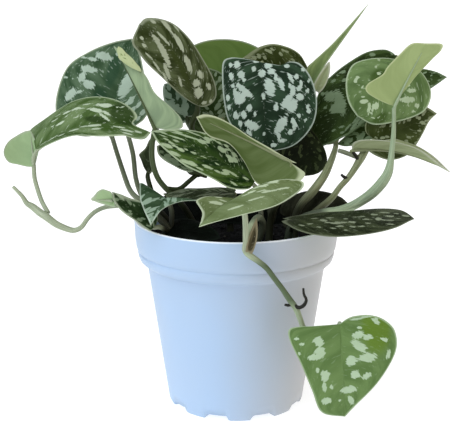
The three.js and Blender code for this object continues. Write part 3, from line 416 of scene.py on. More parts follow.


# Skins shade, mid_shade, deep_shade, low_dark, bed and bed_brown are darker copies of the leaf colours:
# painted shade for leaves that lie in shadow.
SKINS = {skin.name: skin for skin in (
    SatinLeafSkin("tall_blue", "#314b31", "#587055", "#b2c5b4", under="#8ea88c", shade_and_tint="#2c4a34"),
    SatinLeafSkin("arched", "#3a5420", "#6a8054", "#bccbb2", under="#9db08e", margin="#a9b898",
        shade_and_tint="#1c3206"),
    SatinLeafSkin("curled", "#5f7a4c", "#7c9468", "#a9bb97", under="#9fb98c", under_deep="#92ab80"),
    SatinLeafSkin("low_dark", "#182a10", "#32482a", "#76886c", under="#84967e", under_deep="#6c7f64"),
    SatinLeafSkin("silver_small", "#2a4028", "#4a6146", "#93a994", margin="#b0c0ae"),
    SatinLeafSkin("back_view", "#4c6a3c", "#66804f", "#a5b795", under="#9ab08c", under_deep="#819678"),
    SatinLeafSkin("turned", "#5d7436", "#8a9c60", "#b4c092", margin="#b4c092"),
    SatinLeafSkin("brown_low", "#202b12", "#48543a", "#77806a", under="#6c7652", margin="#626a50"),
    SatinLeafSkin("hanging", "#577340", "#67834e", "#adc4a6", margin="#9db38f", under="#93aa78", shade=0.1,
        flecks=0.15, shade_and_tint="#5d7a24"),
    SatinLeafSkin("rim_front", "#5e6e42", "#75855a", "#bccaa9", margin="#bac7a9", under="#8fa078",
        shade=0.15, flecks=0.3),
    SatinLeafSkin("long_dark", "#112a06", "#466028", "#aabd98", margin="#a9ba98", shade_and_tint="#0b2106"),
    SatinLeafSkin("silver_big", "#18291a", "#2e4430", "#b4c5b9", margin="#a9b8ab", shade=0.8),
    SatinLeafSkin("folded", "#3c5426", "#55693a", "#8b9a76", margin="#bcc6a4", under="#5f6f44",
        under_deep="#4b5c2e"),
    SatinLeafSkin("olive", "#2a3414", "#556040", "#a8b199", margin="#8f9880", under="#5e6d3f",
        shade_and_tint="#333f18"),
    SatinLeafSkin("striped", "#2b3510", "#48532b", "#8b9575", margin="#87906e"),
    SatinLeafSkin("plain_back", "#5c7436", "#6c8646", "#8a9c70", under="#6f8b4a", under_deep="#627d3f"),
    SatinLeafSkin("shade", "#1f2f0b", "#3a4e22", "#7c9070", margin="#5f7250", shade_and_tint="#1b2809"),
    SatinLeafSkin("mid_shade", "#2a3d18", "#4c5f38", "#8c9d80", margin="#7f9070"),
    SatinLeafSkin("deep_shade", "#0b1403", "#1d270e", "#3f4a2e", margin="#2b3618"),
    SatinLeafSkin("bed", "#030603", "#0b120d", "#202c26", margin="#141d17", under="#0a110b",
        under_deep="#050905", flecks=0.3),
    SatinLeafSkin("bed_brown", "#14160a", "#2c2e20", "#45473a", margin="#34362a", under="#26281c",
        under_deep="#14160c"),
    SatinLeafSkin("round_mid", "#50673a", "#6d8553", "#b0c19e", margin="#adbd9c", shade_and_tint="#3c5220"),
    SatinLeafSkin("young", "#6a7e4e", "#849860", "#9fb070", under="#88995f", under_deep="#73854f",
        flecks=0.0, margin="#95a47c"),
    SatinLeafSkin("flag", "#5d7440", "#7a8e58", "#a5b58c", margin="#b4bf93", under="#98a974",
        under_deep="#8c9d69"),
    SatinLeafSkin("pale_arch", "#8a956e", "#9aa57e", "#adb696", under="#9ea982", under_deep="#8a956e",
        margin="#b3b9a2"),
    SatinLeafSkin("dry_sheath", "#34301f", "#6a6448", "#98927a", under="#5c563e", under_deep="#38331f",
        margin="#8d866c", flecks=0.6),
    SatinLeafSkin("rim_dark", "#1c2410", "#434c32", "#8e987f", margin="#757d66"),
)}

STALKS = {skin.name: skin for skin in (
    StalkSkin("pale", "#a6b095", "#8a957c"),
    StalkSkin("front", "#a6b295", "#8a997c", band_green="#26401a"),
    StalkSkin("grey", "#838b76", "#697059"),
    StalkSkin("olive", "#8b9270", "#6b7352"),
    StalkSkin("blue", "#9bac8c", "#84967a"),
    StalkSkin("dark", "#3a4526", "#262f18"),
    StalkSkin("looped", "#5d6b4b", "#384626"),
    StalkSkin("root", "#26261f", "#141511"),
    StalkSkin("paper", "#8c846a", "#5d5640"),
)}


# -------------------------------------------------------------------------------------------------------
# half outlines between base and tip: (share of length along the midrib, share of half width)
# -------------------------------------------------------------------------------------------------------
def heart(sinus: float, wide: float, full: float) -> Outline:
    """Give the outline of one half of a heart-shaped blade.

    Args:
        sinus: How deep the notch at the base is.
        wide: Where the half is widest, as a share of the length.
        full: How rounded the tip is.

    Returns:
        Eight points between the base and the tip.
    """
    rest = 1 - wide
    return [(-0.075 * sinus, 0.14), (-0.12 * sinus, 0.36), (-0.06 * sinus, 0.66), (wide * 0.35, 0.9),
            (wide, 1), (wide + rest * 0.35, 0.84 + 0.1 * full), (wide + rest * 0.66, 0.5 + 0.26 * full),
            (wide + rest * 0.88, 0.17 + 0.3 * full)]


class Splashing(Enum):
    """How a blade is splashed with silver: count on each half, half length in mm, width over length."""

    NONE = (0, 0.0, 1.0)
    SPARSE = (9, 1.3, 0.5)
    FINE = (26, 1.2, 0.6)
    USUAL = (22, 1.9, 0.5)
    DENSE = (34, 2.0, 0.5)
    STREAKED = (26, 3.0, 0.18)


# -------------------------------------------------------------------------------------------------------
# plant
# -------------------------------------------------------------------------------------------------------
@dataclass
class Blade:
    """One leaf: a sheet of rows from base to tip, folded at the midrib and cupped, with its petiole.

    Its pairs are for the left and the right half. Fold holds degrees at the base and at the tip of each
    half. A splash or shade is placed by millimetres along and across the midrib (left is negative), half
    length, half width, and degrees outward from the midrib where it is turned. A shade is a patch of
    painted shade darkened into the blade's colour; on the hanging leaf it is an olive tint.
    """

    name: str
    base: Point
    tip: Point
    face: Point
    half: tuple[float, float]
    fold: tuple[float, float, float, float] = (10, 5, 10, 5)
    cup: tuple[float, float] = (15, 15)
    arch: float = 0.05
    sweep: float = 0.0
    left: Outline = field(default_factory=lambda: heart(1, 0.34, 0.5))
    right: Outline = field(default_factory=lambda: heart(1, 0.34, 0.5))
    stalk: list[Point] = field(default_factory=list)
    skin: str = "shade"
    splashing: Splashing = Splashing.USUAL
    splashes: list[tuple[float, ...]] = field(default_factory=list)
    # Patches of painted shade, darkened into the blade's colour; on the hanging leaf an olive tint.
    shades: list[tuple[float, ...]] = field(default_factory=list)
    ripple: float = 0.3
    waves: float = 2.6
    petiole: str = "grey"
    girth: float = USUAL_GIRTH
    rows: int = 72
    columns: int = 22
    thickness: float = 0.3
    crowding: float = 1.7
    spread: float = 1.2
    vein_slant: float = 0.26
    vein_turn: float = 0.88

    def outline(self, side: int) -> Outline:
        """Return the left (0) or the right (1) half outline with its ends at the base and the tip."""
        return [(0, 0), *(self.right if side else self.left), (1, 0)]

    def axes(self) -> tuple[np.ndarray, np.ndarray, np.ndarray, np.ndarray, float]:
        """Return the base, the directions along, up and across, and the length."""
        base = np.array(self.base, float)
        along = np.array(self.tip, float) - base
        length = float(np.linalg.norm(along))
        along = along / length
        up = np.array(self.face, float)
        up = unit(up - (up @ along) * along)
        return base, along, up, np.cross(along, up), length

    def rib(self, s: np.ndarray) -> np.ndarray:
        """Return points of the midrib at shares of its length."""
        base, along, up, across, length = self.axes()
        s = np.asarray(s, float)
        rise = np.where(s < 0, 4 * s, 4 * s * (1 - s))
        return (base + along * (length * s)[..., None] + up * (length * self.arch * rise)[..., None]
                + across * (length * self.sweep * rise)[..., None])

    def frame(self, s: np.ndarray) -> tuple[np.ndarray, np.ndarray]:
        """Return the up and across directions along the midrib."""
        s = np.asarray(s, float)
        forward = unit(self.rib(s + 1e-3) - self.rib(s - 1e-3))
        up = self.axes()[2]
        up = unit(up - (forward @ up)[..., None] * forward)
        return up, np.cross(forward, up)

    def sheet(self) -> dict[str, np.ndarray]:
        """Work out the blade's middle surface, its normals and the numbers its skin reads.

        Returns:
            Arrays of (rows + 1) by (2 * columns + 1), from the left margin over the midrib to the right one.
        """
        length = self.axes()[4]
        tau = np.linspace(0, 1, self.rows + 1)
        rib_share = tau ** self.crowding
        eased = tau * tau * (3 - 2 * tau)
        parts: dict[str, list[np.ndarray]] = {k: [] for k in ("p", "n", "s", "rib", "v", "edge")}
        for c in range(-self.columns, self.columns + 1):
            side = 0 if c < 0 else 1
            sign = -1 if c < 0 else 1
            v = abs(c) / self.columns
            shape = spline(np.array(self.outline(side)), self.rows + 1)
            rise = np.radians(self.fold[2 * side] + (self.fold[2 * side + 1] - self.fold[2 * side]) * eased)
            bend = math.radians(self.cup[side]) / self.half[side] or 1e-6
            s = rib_share + (shape[:, 0] - rib_share) * v ** self.spread
            reach = shape[:, 1] * self.half[side] * v
            angle = rise - bend * reach
            x = (np.sin(rise) - np.sin(angle)) / bend
            z = (np.cos(angle) - np.cos(rise)) / bend
            up, across = self.frame(s)
            phase = 2 * np.pi * (self.waves * tau + 0.3 * side)
            wave = self.ripple * np.sin(phase) * v ** 3 * np.sin(np.pi * tau)
            parts["p"].append(self.rib(s) + sign * across * x[:, None] + up * (z + wave)[:, None])
            normal = up * np.cos(angle)[:, None] - sign * across * np.sin(angle)[:, None]
            if c == 0:
                mean = np.radians(self.fold[0] - self.fold[2]) / 2
                normal = up * math.cos(mean) + across * math.sin(mean)
            parts["n"].append(normal)
            parts["s"].append(s)
            parts["rib"].append(sign * reach)
            parts["v"].append(np.full_like(s, v))
            parts["edge"].append((1 - v) * shape[:, 1] * self.half[side])
        sheet = {k: np.stack(v, axis=1) for k, v in parts.items()}
        sheet["along"] = sheet["s"] * length
        # Side veins leave the midrib steeply and turn along the margin.
        sheet["vein"] = sheet["along"] + self.vein_slant * length * np.log(1 - self.vein_turn * sheet["v"])
        return sheet

    def spots(self, seed: int) -> list[tuple[float, ...]]:
        """Lay out the silver splashes.

        Args:
            seed: Seed of the draw.

        Returns:
            The splashes, placed as the class says.
        """
        if self.splashes:
            return self.splashes
        count, size, slender = self.splashing.value
        draw = np.random.default_rng(seed)
        length = self.axes()[4]
        spots = []
        for side, sign in enumerate((-1, 1)):
            outline = self.outline(side)
            for _ in range(count):
                s = draw.uniform(0.02, 0.9)
                v = draw.uniform(0.15, 0.95)
                shape = np.interp(s, np.linspace(0, 1, len(outline)), [q for _, q in outline])
                big = size * draw.uniform(0.4, 1.2)
                small = big * slender * draw.uniform(0.7, 1.3)
                spots.append((s * length, sign * v * shape * self.half[side], big, small, 48 * (1 - v) + 4))
        return spots

    def depth(self, sheet: dict[str, np.ndarray], spots: list[tuple[float, ...]]) -> np.ndarray:
        """Return how deep inside a spot each point lies, from -1 well outside to 1 at its middle."""
        depth = np.full(sheet["along"].shape, -1.0)
        for along, across, big, small, *turn in spots:
            a = math.radians(turn[0]) if turn else 0.0
            da = sheet["along"] - along
            dx = (sheet["rib"] - across) * (1 if across > 0 else -1)
            u = (da * math.cos(a) + dx * math.sin(a)) / big
            w = (dx * math.cos(a) - da * math.sin(a)) / small
            depth = np.maximum(depth, 1 - np.sqrt(u * u + w * w))
        return depth

    def build(self, seed: int) -> bpy.types.Object:
        """Build the blade as a thin closed sheet in its upper and underside skins.

        Args:
            seed: Seed of the draw for its splashes.

        Returns:
            The blade.
        """
        sheet = self.sheet()
        rows, wide = self.rows + 1, 2 * self.columns + 1
        taper = self.thickness * (1 - 0.65 * sheet["v"] ** 4)
        taper[[0, -1]] = self.thickness * 0.4
        points, faces, slots = [], [], []
        for turn in (1, -1):
            points.append((sheet["p"] + turn * sheet["n"] * taper[..., None]).reshape(-1, 3))
        grid = np.arange(rows * wide).reshape(rows, wide)
        low = rows * wide
        for i in range(rows - 1):
            for c in range(wide - 1):
                a, b, d, e = grid[i, c], grid[i + 1, c], grid[i + 1, c + 1], grid[i, c + 1]
                faces.append((a, e, d, b))
                slots.append(0)
                faces.append((low + a, low + b, low + d, low + e))
                slots.append(1)
        # The blade's thin edge has points of its own, so that the shading breaks there.
        loop = [grid[i, 0] for i in range(rows)] + [grid[i, wide - 1] for i in range(rows - 1, -1, -1)]
        start = 2 * low
        edge = np.vstack([points[0][loop], points[1][loop]])
        n = len(loop)
        for k in range(n):
            j = (k + 1) % n
            faces.append((start + k, start + j, start + n + j, start + n + k))
            slots.append(1)
        order = np.concatenate([np.arange(low), np.arange(low), loop, loop])
        sheet["silver"] = self.depth(sheet, self.spots(seed))
        # Painted shade: the shade patches darken the blade's colour where it lies in shadow (an olive tint
        # on the hanging leaf).
        sheet["shade_and_tint_share"] = np.clip(self.depth(sheet, self.shades), 0, 1)
        values = {k: sheet[k].ravel()[order] for k in ("edge", "rib", "silver", "shade_and_tint_share")}
        shift = seed * 7 % 50 + (values["rib"] > 0) * 3.7
        values["veins"] = np.stack([sheet["vein"].ravel()[order], sheet["along"].ravel()[order], shift], 1)
        piece = mesh_piece("leaf_" + self.name, np.vstack([points[0], points[1], edge]),
                           [tuple(int(q) for q in f) for f in faces], slots, values)
        piece.data.validate()
        skin = SKINS[self.skin]
        for material in (skin.upper(), skin.underside()):
            piece.data.materials.append(material)
        return piece

    def petiole_path(self) -> tuple[np.ndarray, list[float]]:
        """Return the petiole's path from far up the midrib to the stem, and its radii."""
        shares = np.array([0.86, 0.62, 0.4, 0.2, 0.08])
        up, _ = self.frame(shares)
        under = self.rib(shares) - up * np.array([0.2, 0.38, 0.52, 0.7, 0.9])[:, None]
        path = [*under, np.array(self.base) - self.frame(np.array([0.0]))[0][0] * 0.95]
        radii = [0.12, 0.28, 0.42, 0.6, 0.8, 0.95 * self.girth / USUAL_GIRTH]
        for point in self.stalk:
            path.append(np.array(point, float))
            radii.append(self.girth)
        return np.array(path), radii


@dataclass
class Stalk:
    """A round stem, petiole or root through the points of a path."""

    path: list[Point]
    radius: list[float]
    skin: str = "grey"
    sides: int = 14
    step: float = 1.2

    def mesh(self) -> tuple[np.ndarray, list[tuple[int, ...]], np.ndarray]:
        """Sweep the stalk's section along its path.

        Returns:
            Points, faces, and for each point how far round and how many millimetres along it lies.
        """
        path = np.array(self.path, float)
        rough = spline(path, 40)
        length = float(np.linalg.norm(np.diff(rough, axis=0), axis=1).sum())
        count = max(8, int(length / self.step))
        centre = spline(path, count)
        radius = np.interp(np.linspace(0, 1, count), np.linspace(0, 1, len(self.radius)), self.radius)
        forward = unit(np.gradient(centre, axis=0))
        # The section's first side only has to point away from the path.
        side = np.array([0.31, 0.85, 0.42])
        points, places = [], []
        run = np.concatenate([[0], np.cumsum(np.linalg.norm(np.diff(centre, axis=0), axis=1))])
        for i in range(count):
            side = unit(side - (side @ forward[i]) * forward[i])
            other = np.cross(forward[i], side)
            for k in range(self.sides):
                a = 2 * math.pi * k / self.sides
                points.append(centre[i] + radius[i] * (side * math.cos(a) + other * math.sin(a)))
                places.append((abs(2 * k / self.sides - 1) * 2, run[i], self.radius[0]))
        faces: list[tuple[int, ...]] = []
        for i in range(count - 1):
            for k in range(self.sides):
                a, b = i * self.sides + k, i * self.sides + (k + 1) % self.sides
                faces.append((a, b, b + self.sides, a + self.sides))
        faces.append(tuple(range(self.sides - 1, -1, -1)))
        faces.append(tuple(range((count - 1) * self.sides, count * self.sides)))
        return np.array(points), faces, np.array(places)


@dataclass
class LeafyStem:
    """One plant stem with its leaves, which replaces one node of the model."""

    node: str
    stalks: list[Stalk]
    blades: list[Blade]

    def build(self, seed: int) -> list[bpy.types.Object]:
        """Build the stem's leaves and one mesh for all its stalks.

        Args:
            seed: Seed for the splashes of its leaves.

        Returns:
            Every piece of the stem.
        """
        pieces = [blade.build(seed + LEAF_SEED_STEP * i) for i, blade in enumerate(self.blades)]
        stalks = list(self.stalks)
        for blade in self.blades:
            path, radii = blade.petiole_path()
            stalks.append(Stalk([tuple(p) for p in path], radii, blade.petiole))
        pieces.append(self.bundle(stalks))
        for piece in pieces:
            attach(piece, "root")
            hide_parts(self.node)
            LOG.info("%s: %s", self.node, piece.name)
        return pieces

    def bundle(self, stalks: list[Stalk]) -> bpy.types.Object:
        """Join stalks into one mesh, each with the slot of its own skin.

        Args:
            stalks: The stalks.

        Returns:
            The joined piece.
        """
        skins = sorted({stalk.skin for stalk in stalks})
        points, faces, slots, places = [], [], [], []
        start = 0
        for stalk in stalks:
            p, f, run = stalk.mesh()
            points.append(p)
            faces += [tuple(start + q for q in face) for face in f]
            slots += [skins.index(stalk.skin)] * len(f)
            places.append(run)
            start += len(p)
        values = {"run": np.vstack(places)}
        piece = mesh_piece("stalks_" + self.node, np.vstack(points), faces, slots, values)
        for skin in skins:
            piece.data.materials.append(STALKS[skin].material())
        return piece


def vine_left() -> LeafyStem:
    """Trail over the left rim: the big arched leaf with its curled end, and the bare growing tip."""
    stalks = [
        Stalk([(-30, -24, 80), (-30, -24, 91), (-35, -25, 100), (-43, -26, 108), (-50, -26, 110.8),
                (-58, -26, 110.4), (-64.5, -28, 110), (-69, -31, 108.6), (-72.5, -34, 105.8),
                (-75.5, -36, 102), (-79, -36, 100.4), (-83, -35, 101), (-88, -34, 103), (-92.5, -32, 105.8),
                (-96.5, -29, 107.6), (-100.5, -26, 109.8), (-103.5, -25, 111.5), (-106, -24, 115),
                (-110.3, -23, 119.3)],
            [2, 2, 1.8, 1.6, 1.4, 1.2, 1.1, 1.1, 1.1, 1.2, 1.3, 1.5, 1.7, 1.9, 1.9, 1.7, 1.3, 1, 0.8],
            "pale"),
    ]
    blades = [
        Blade("arched_left", (-99.7, -14, 136.4), (-42, -22, 146), (-0.05, -0.1, 1), (25, 12),
            fold=(25, 32, -2, -8), arch=0.14, skin="arched", petiole="pale", girth=1.1,
            left=[(-0.03, 0.45), (-0.09, 1.06), (0.06, 1.02), (0.2, 1.02), (0.32, 1.01), (0.5, 0.94),
                (0.66, 0.78), (0.79, 0.55), (0.865, 0.3), (0.855, 0.08)],
            right=[(0.05, 0.5), (0.13, 0.6), (0.23, 0.72), (0.34, 0.8), (0.45, 0.85), (0.6, 1),
                (0.74, 0.95), (0.83, 0.82), (0.91, 0.82), (0.98, 0.6)],
            stalk=[(-101, -14.3, 132), (-101, -14.6, 127.4), (-100.6, -15.8, 122), (-98.8, -18.5, 116.5),
                (-96, -24, 111.7), (-92.3, -30, 107.7)],
            shades=[(44, -9, 8, 11), (47, -3, 7, 4), (33, -3, 9, 3, -20)],
            splashes=[(35.3, -14, 3, 1.8), (32, -15, 1.6, 0.8), (26, -13.3, 3.5, 0.5, -20),
                (31, -10, 4, 0.6, -35), (36.5, -4.5, 4, 0.7, -45), (32, -10.5, 3.6, 1.2, -35),
                (37, -7.5, 3, 0.8, -40), (21.6, -15.5, 2, 1), (16.8, -15.5, 2.4, 0.9), (17, -12, 2, 0.6),
                (14, -8, 2.6, 1, 10), (23, -8, 2.4, 0.6), (10.5, -14, 2, 0.6), (9.5, -9, 1, 0.6),
                (6, -12, 1, 0.5), (22.5, 3.2, 3, 0.8), (27, 1.5, 2.5, 0.7), (32, 2, 4, 1.2),
                (34, 6, 3, 0.7), (45, 3, 3, 0.7), (49, 5, 3, 0.8), (50, 7.5, 2.5, 0.7), (54, 3.5, 1.6, 0.9),
                (10.5, 2.5, 3, 0.8, -10), (5, 1.5, 2, 0.6, -10), (15.5, 4, 2, 0.6), (41.5, -12.5, 1.2, 0.6),
                (43.5, -13.5, 1.8, 0.35, 60), (26, -17, 2.4, 0.7), (12, -17, 2, 0.5)]),
        Blade("curled_end", (-100.7, -15.4, 128), (-104, -3, 144), (-0.1, 1, -0.35), (3, 14.6),
            fold=(0, 0, 0, 0), cup=(20, 30), arch=0.03, skin="curled", splashing=Splashing.NONE,
            petiole="pale", girth=0.9,
            left=[(0.1, 0.35), (0.22, 0.6), (0.35, 0.95), (0.45, 1), (0.55, 0.85), (0.66, 0.7),
                (0.77, 0.55), (0.9, 0.35)],
            right=[(0, 0.2), (0.07, 0.55), (0.13, 0.85), (0.32, 1), (0.53, 0.95), (0.75, 0.75), (0.9, 0.45),
                (0.98, 0.2)]),
        Blade("rim_left", (-40, -38, 102.6), (-60, -38, 120), (0.3, -0.6, 0.75), (5, 8), arch=0,
            skin="low_dark", splashing=Splashing.SPARSE,
            left=[(0.02, 0.75), (0.1, 0.85), (0.2, 0.9), (0.32, 0.95), (0.46, 1), (0.62, 1), (0.75, 0.95),
                (0.9, 0.65)],
            right=[(0.02, 0.5), (0.1, 0.9), (0.27, 1), (0.48, 0.82), (0.67, 0.52), (0.82, 0.3), (0.9, 0.16),
                (0.96, 0.08)],
            stalk=[(-37.8, -35.5, 102), (-35.5, -30.5, 99.5), (-34, -25.5, 97)]),
        Blade("rim_left_curl", (-59.6, -38, 116), (-70.4, -37, 116), (0, 1, 0.2), (7, 3.5),
            fold=(0, 0, 0, 0), cup=(40, 40), arch=0, skin="curled", splashing=Splashing.NONE,
            petiole="pale", girth=0.6,
            left=[(0.01, 0.3), (0.05, 0.7), (0.2, 0.9), (0.4, 1), (0.63, 0.75), (0.8, 0.4), (0.9, 0.2),
                (0.97, 0.1)],
            right=[(-0.08, 0.5), (-0.1, 0.9), (0.05, 1), (0.32, 0.76), (0.6, 0.48), (0.78, 0.32),
                (0.9, 0.22), (0.96, 0.12)]),
        Blade("pointed_left", (-35, -30, 115), (-41.3, -44, 105), (-0.15, -0.7, 0.6), (17.8, 14.7),
            fold=(25, 15, 20, 15), arch=0.04, skin="silver_small", splashing=Splashing.STREAKED,
            left=[(0.05, 0.45), (0.07, 0.82), (0.08, 1), (0.12, 0.72), (0.2, 0.44), (0.32, 0.22),
                (0.5, 0.1), (0.75, 0.05)],
            right=[(-0.07, 0.3), (-0.14, 0.63), (-0.2, 1), (0.05, 0.9), (0.34, 0.72), (0.53, 0.54),
                (0.71, 0.35), (0.86, 0.16)],
            stalk=[(-33.5, -27.8, 113), (-32, -25, 106), (-32.7, -24.5, 97)]),
        # A near-black low leaf on the mix: partly a real dark leaf, partly painted shade over the pot's
        # shaded inside.
        Blade("bed_left", (-33, -25.5, 98.5), (-8, -32, 95.5), (0, -0.5, 0.85), (8, 8), arch=0.04,
            skin="bed", splashing=Splashing.NONE, petiole="dark"),
    ]
    return LeafyStem("vine_left", stalks, blades)


def stem_back_left() -> LeafyStem:
    """Stand at the back left: the tall left leaf, one leaf behind it and a small low one."""
    stalks = [
        Stalk([(-33, -6, 80), (-33, -6, 92), (-37, -12, 102), (-43, -17.5, 108.5), (-49, -18, 112),
                (-53, -14, 115), (-56, -6, 119), (-61, 5, 130), (-64, 12, 137), (-66, 15.3, 141)],
            [1.9, 1.9, 1.7, 1.5, 1.4, 1.3, 1.3, 1.2, 1.2, 1.2], "grey"),
    ]
    blades = [
        Blade("tall_left", (-66.6, 16, 142), (-54, 24, 187.5), (0.05, -1, 0.25), (29.8, 18),
            fold=(12, 8, 12, 8), skin="tall_blue",
            left=[(-0.08, 0.1), (-0.15, 0.35), (-0.15, 0.66), (-0.03, 0.9), (0.2, 1), (0.52, 0.94),
                (0.74, 0.64), (0.9, 0.3)],
            right=[(-0.03, 0.25), (0, 0.52), (0.1, 0.75), (0.2, 0.95), (0.32, 1), (0.5, 0.82), (0.7, 0.57),
                (0.9, 0.28)],
            stalk=[(-66, 15.3, 140.5), (-64.3, 12.4, 137.6)], shades=[(30, -5, 12, 4), (12, -8, 9, 5)],
            splashes=[(26.7, -17.4, 1.8, 4), (22, -19.4, 2.8, 1.6), (19, -15, 2.2, 3.2),
                (35, -11.3, 2, 4.4), (32, -16.2, 1.2, 2), (31.7, -21.4, 0.8, 1.4), (20, -27.4, 0.9, 1.2),
                (19.4, -23.5, 0.9, 0.9), (11.5, -23, 3.6, 2, -25), (14.2, -18.9, 0.9, 1.6),
                (8, -20, 1.5, 0.8, -20), (24, 3.5, 7.5, 2.8, 12), (12.7, 15.4, 2, 1, 20),
                (16, 12.5, 2, 1, 20), (9, 14, 1.6, 0.9, 20), (12, 10, 2.4, 1, 20), (17, 8, 2.6, 1.4, 25),
                (13.5, 6, 2, 1, 25), (38, -5, 1, 1), (30, 7, 2, 1, 10), (8, 9, 2, 1.2, 10), (5, 12, 1.5, 1),
                (27, -24, 0.8, 1.1), (36, -2, 0.9, 1.4)]),
        Blade("behind_left", (-58.5, 20, 148), (-68, 47, 176), (0.1, -0.75, 0.6), (17, 16),
            skin="tall_blue",
            stalk=[(-58.3, 17, 144.5), (-56, 12, 139), (-53, 5, 130), (-51, -4, 119), (-47.3, -12.5, 111.5),
                (-43, -17, 108)]),
        Blade("low_corner", (-45.5, -2, 122.3), (-43.2, -2, 139.9), (-0.7, -0.7, 0.1), (6.5, 5),
            fold=(10, 10, 10, 10), arch=0.02, skin="brown_low", splashing=Splashing.NONE, petiole="dark",
            left=[(0.08, 0.25), (0.2, 0.55), (0.33, 0.85), (0.42, 1), (0.52, 0.8), (0.66, 0.45),
                (0.8, 0.25), (0.92, 0.12)],
            right=heart(0, 0.3, 0), stalk=[(-45, -3, 119), (-42, -6, 110), (-38, -9, 101), (-34.5, -8, 95)]),
    ]
    return LeafyStem("stem_back_left", stalks, blades)


def stem_mid_left() -> LeafyStem:
    """Stand left of the middle: the leaf seen from behind on its looped petiole, and two low leaves."""
    stalks = [
        Stalk([(-21, -3, 80), (-21, -3, 92), (-25, -5, 102), (-31, -9, 111), (-36.5, -11.5, 117),
                (-40, -12, 122.5), (-42, -12, 130), (-42, -13, 138), (-40.6, -14, 146)],
            [1.8, 1.8, 1.6, 1.5, 1.4, 1.4, 1.4, 1.4, 1.3], "looped"),
        Stalk([(-35, -11, 115.5), (-29, -9, 115), (-24, -7, 118.5), (-19.5, -5, 121.5), (-15, -4.3, 120)],
            [1.3, 1.2, 1.2, 1.2, 0.6], "dark"),
    ]
    blades = [
        Blade("back_view", (-40.4, -14, 147), (-60, -12, 187.2), (0.26, 0.97, 0.1), (13.7, 12),
            fold=(25, 20, 80, 80), cup=(-10, 10), arch=0.02, skin="back_view", splashing=Splashing.SPARSE,
            petiole="looped",
            left=[(-0.05, 0.25), (-0.1, 0.57), (-0.12, 0.92), (-0.02, 1), (0.16, 0.8), (0.35, 0.55),
                (0.54, 0.53), (0.77, 0.36)],
            stalk=[(-40.5, -14, 145.5), (-41.5, -13.4, 140.5)]),
        Blade("back_view_turn", (-46.6, -13.6, 174.6), (-58, -12, 187), (0.2, -1, 0.1), (3.6, 1.2),
            fold=(0, 0, 0, 0), cup=(10, 10), arch=0.02, skin="turned", splashing=Splashing.STREAKED,
            petiole="looped", girth=0.4,
            left=[(0.08, 0.2), (0.25, 0.55), (0.45, 0.85), (0.65, 1), (0.75, 1), (0.83, 0.75), (0.93, 0.5),
                (0.98, 0.15)],
            right=[(0.13, 0.8), (0.27, 0.9), (0.44, 1), (0.6, 0.8), (0.73, 0.65), (0.84, 0.7), (0.91, 0.55),
                (0.96, 0.35)]),
        Blade("low_strip", (-22.4, -8, 123.5), (-40, -8, 136.8), (0.4, -0.5, 0.8), (5.1, 12), arch=0,
            skin="low_dark", petiole="dark",
            left=[(0.04, 0.3), (0.11, 0.4), (0.23, 0.66), (0.37, 0.9), (0.55, 1), (0.72, 0.97), (0.85, 0.9),
                (0.93, 0.6)],
            stalk=[(-20.5, -6.8, 122.8), (-18.8, -5.2, 121.3)]),
        Blade("low_flat", (-1.2, -14, 114), (-36.7, -16, 114), (0, -0.2, 1), (11.6, 5.4), arch=0.03,
            skin="brown_low", splashing=Splashing.STREAKED, petiole="olive",
            left=[(-0.02, 0.53), (0.02, 0.85), (0.15, 0.98), (0.33, 1), (0.5, 0.94), (0.66, 0.85),
                (0.82, 0.73), (0.93, 0.5)],
            right=[(-0.03, 0.6), (0.02, 1), (0.16, 0.92), (0.33, 0.82), (0.5, 0.83), (0.65, 0.78),
                (0.79, 0.4), (0.9, 0.1)],
            stalk=[(-1.5, -12.5, 112.5), (-7, -7, 104), (-14, -4, 96), (-20, -3, 91)]),
    ]
    return LeafyStem("stem_mid_left", stalks, blades)


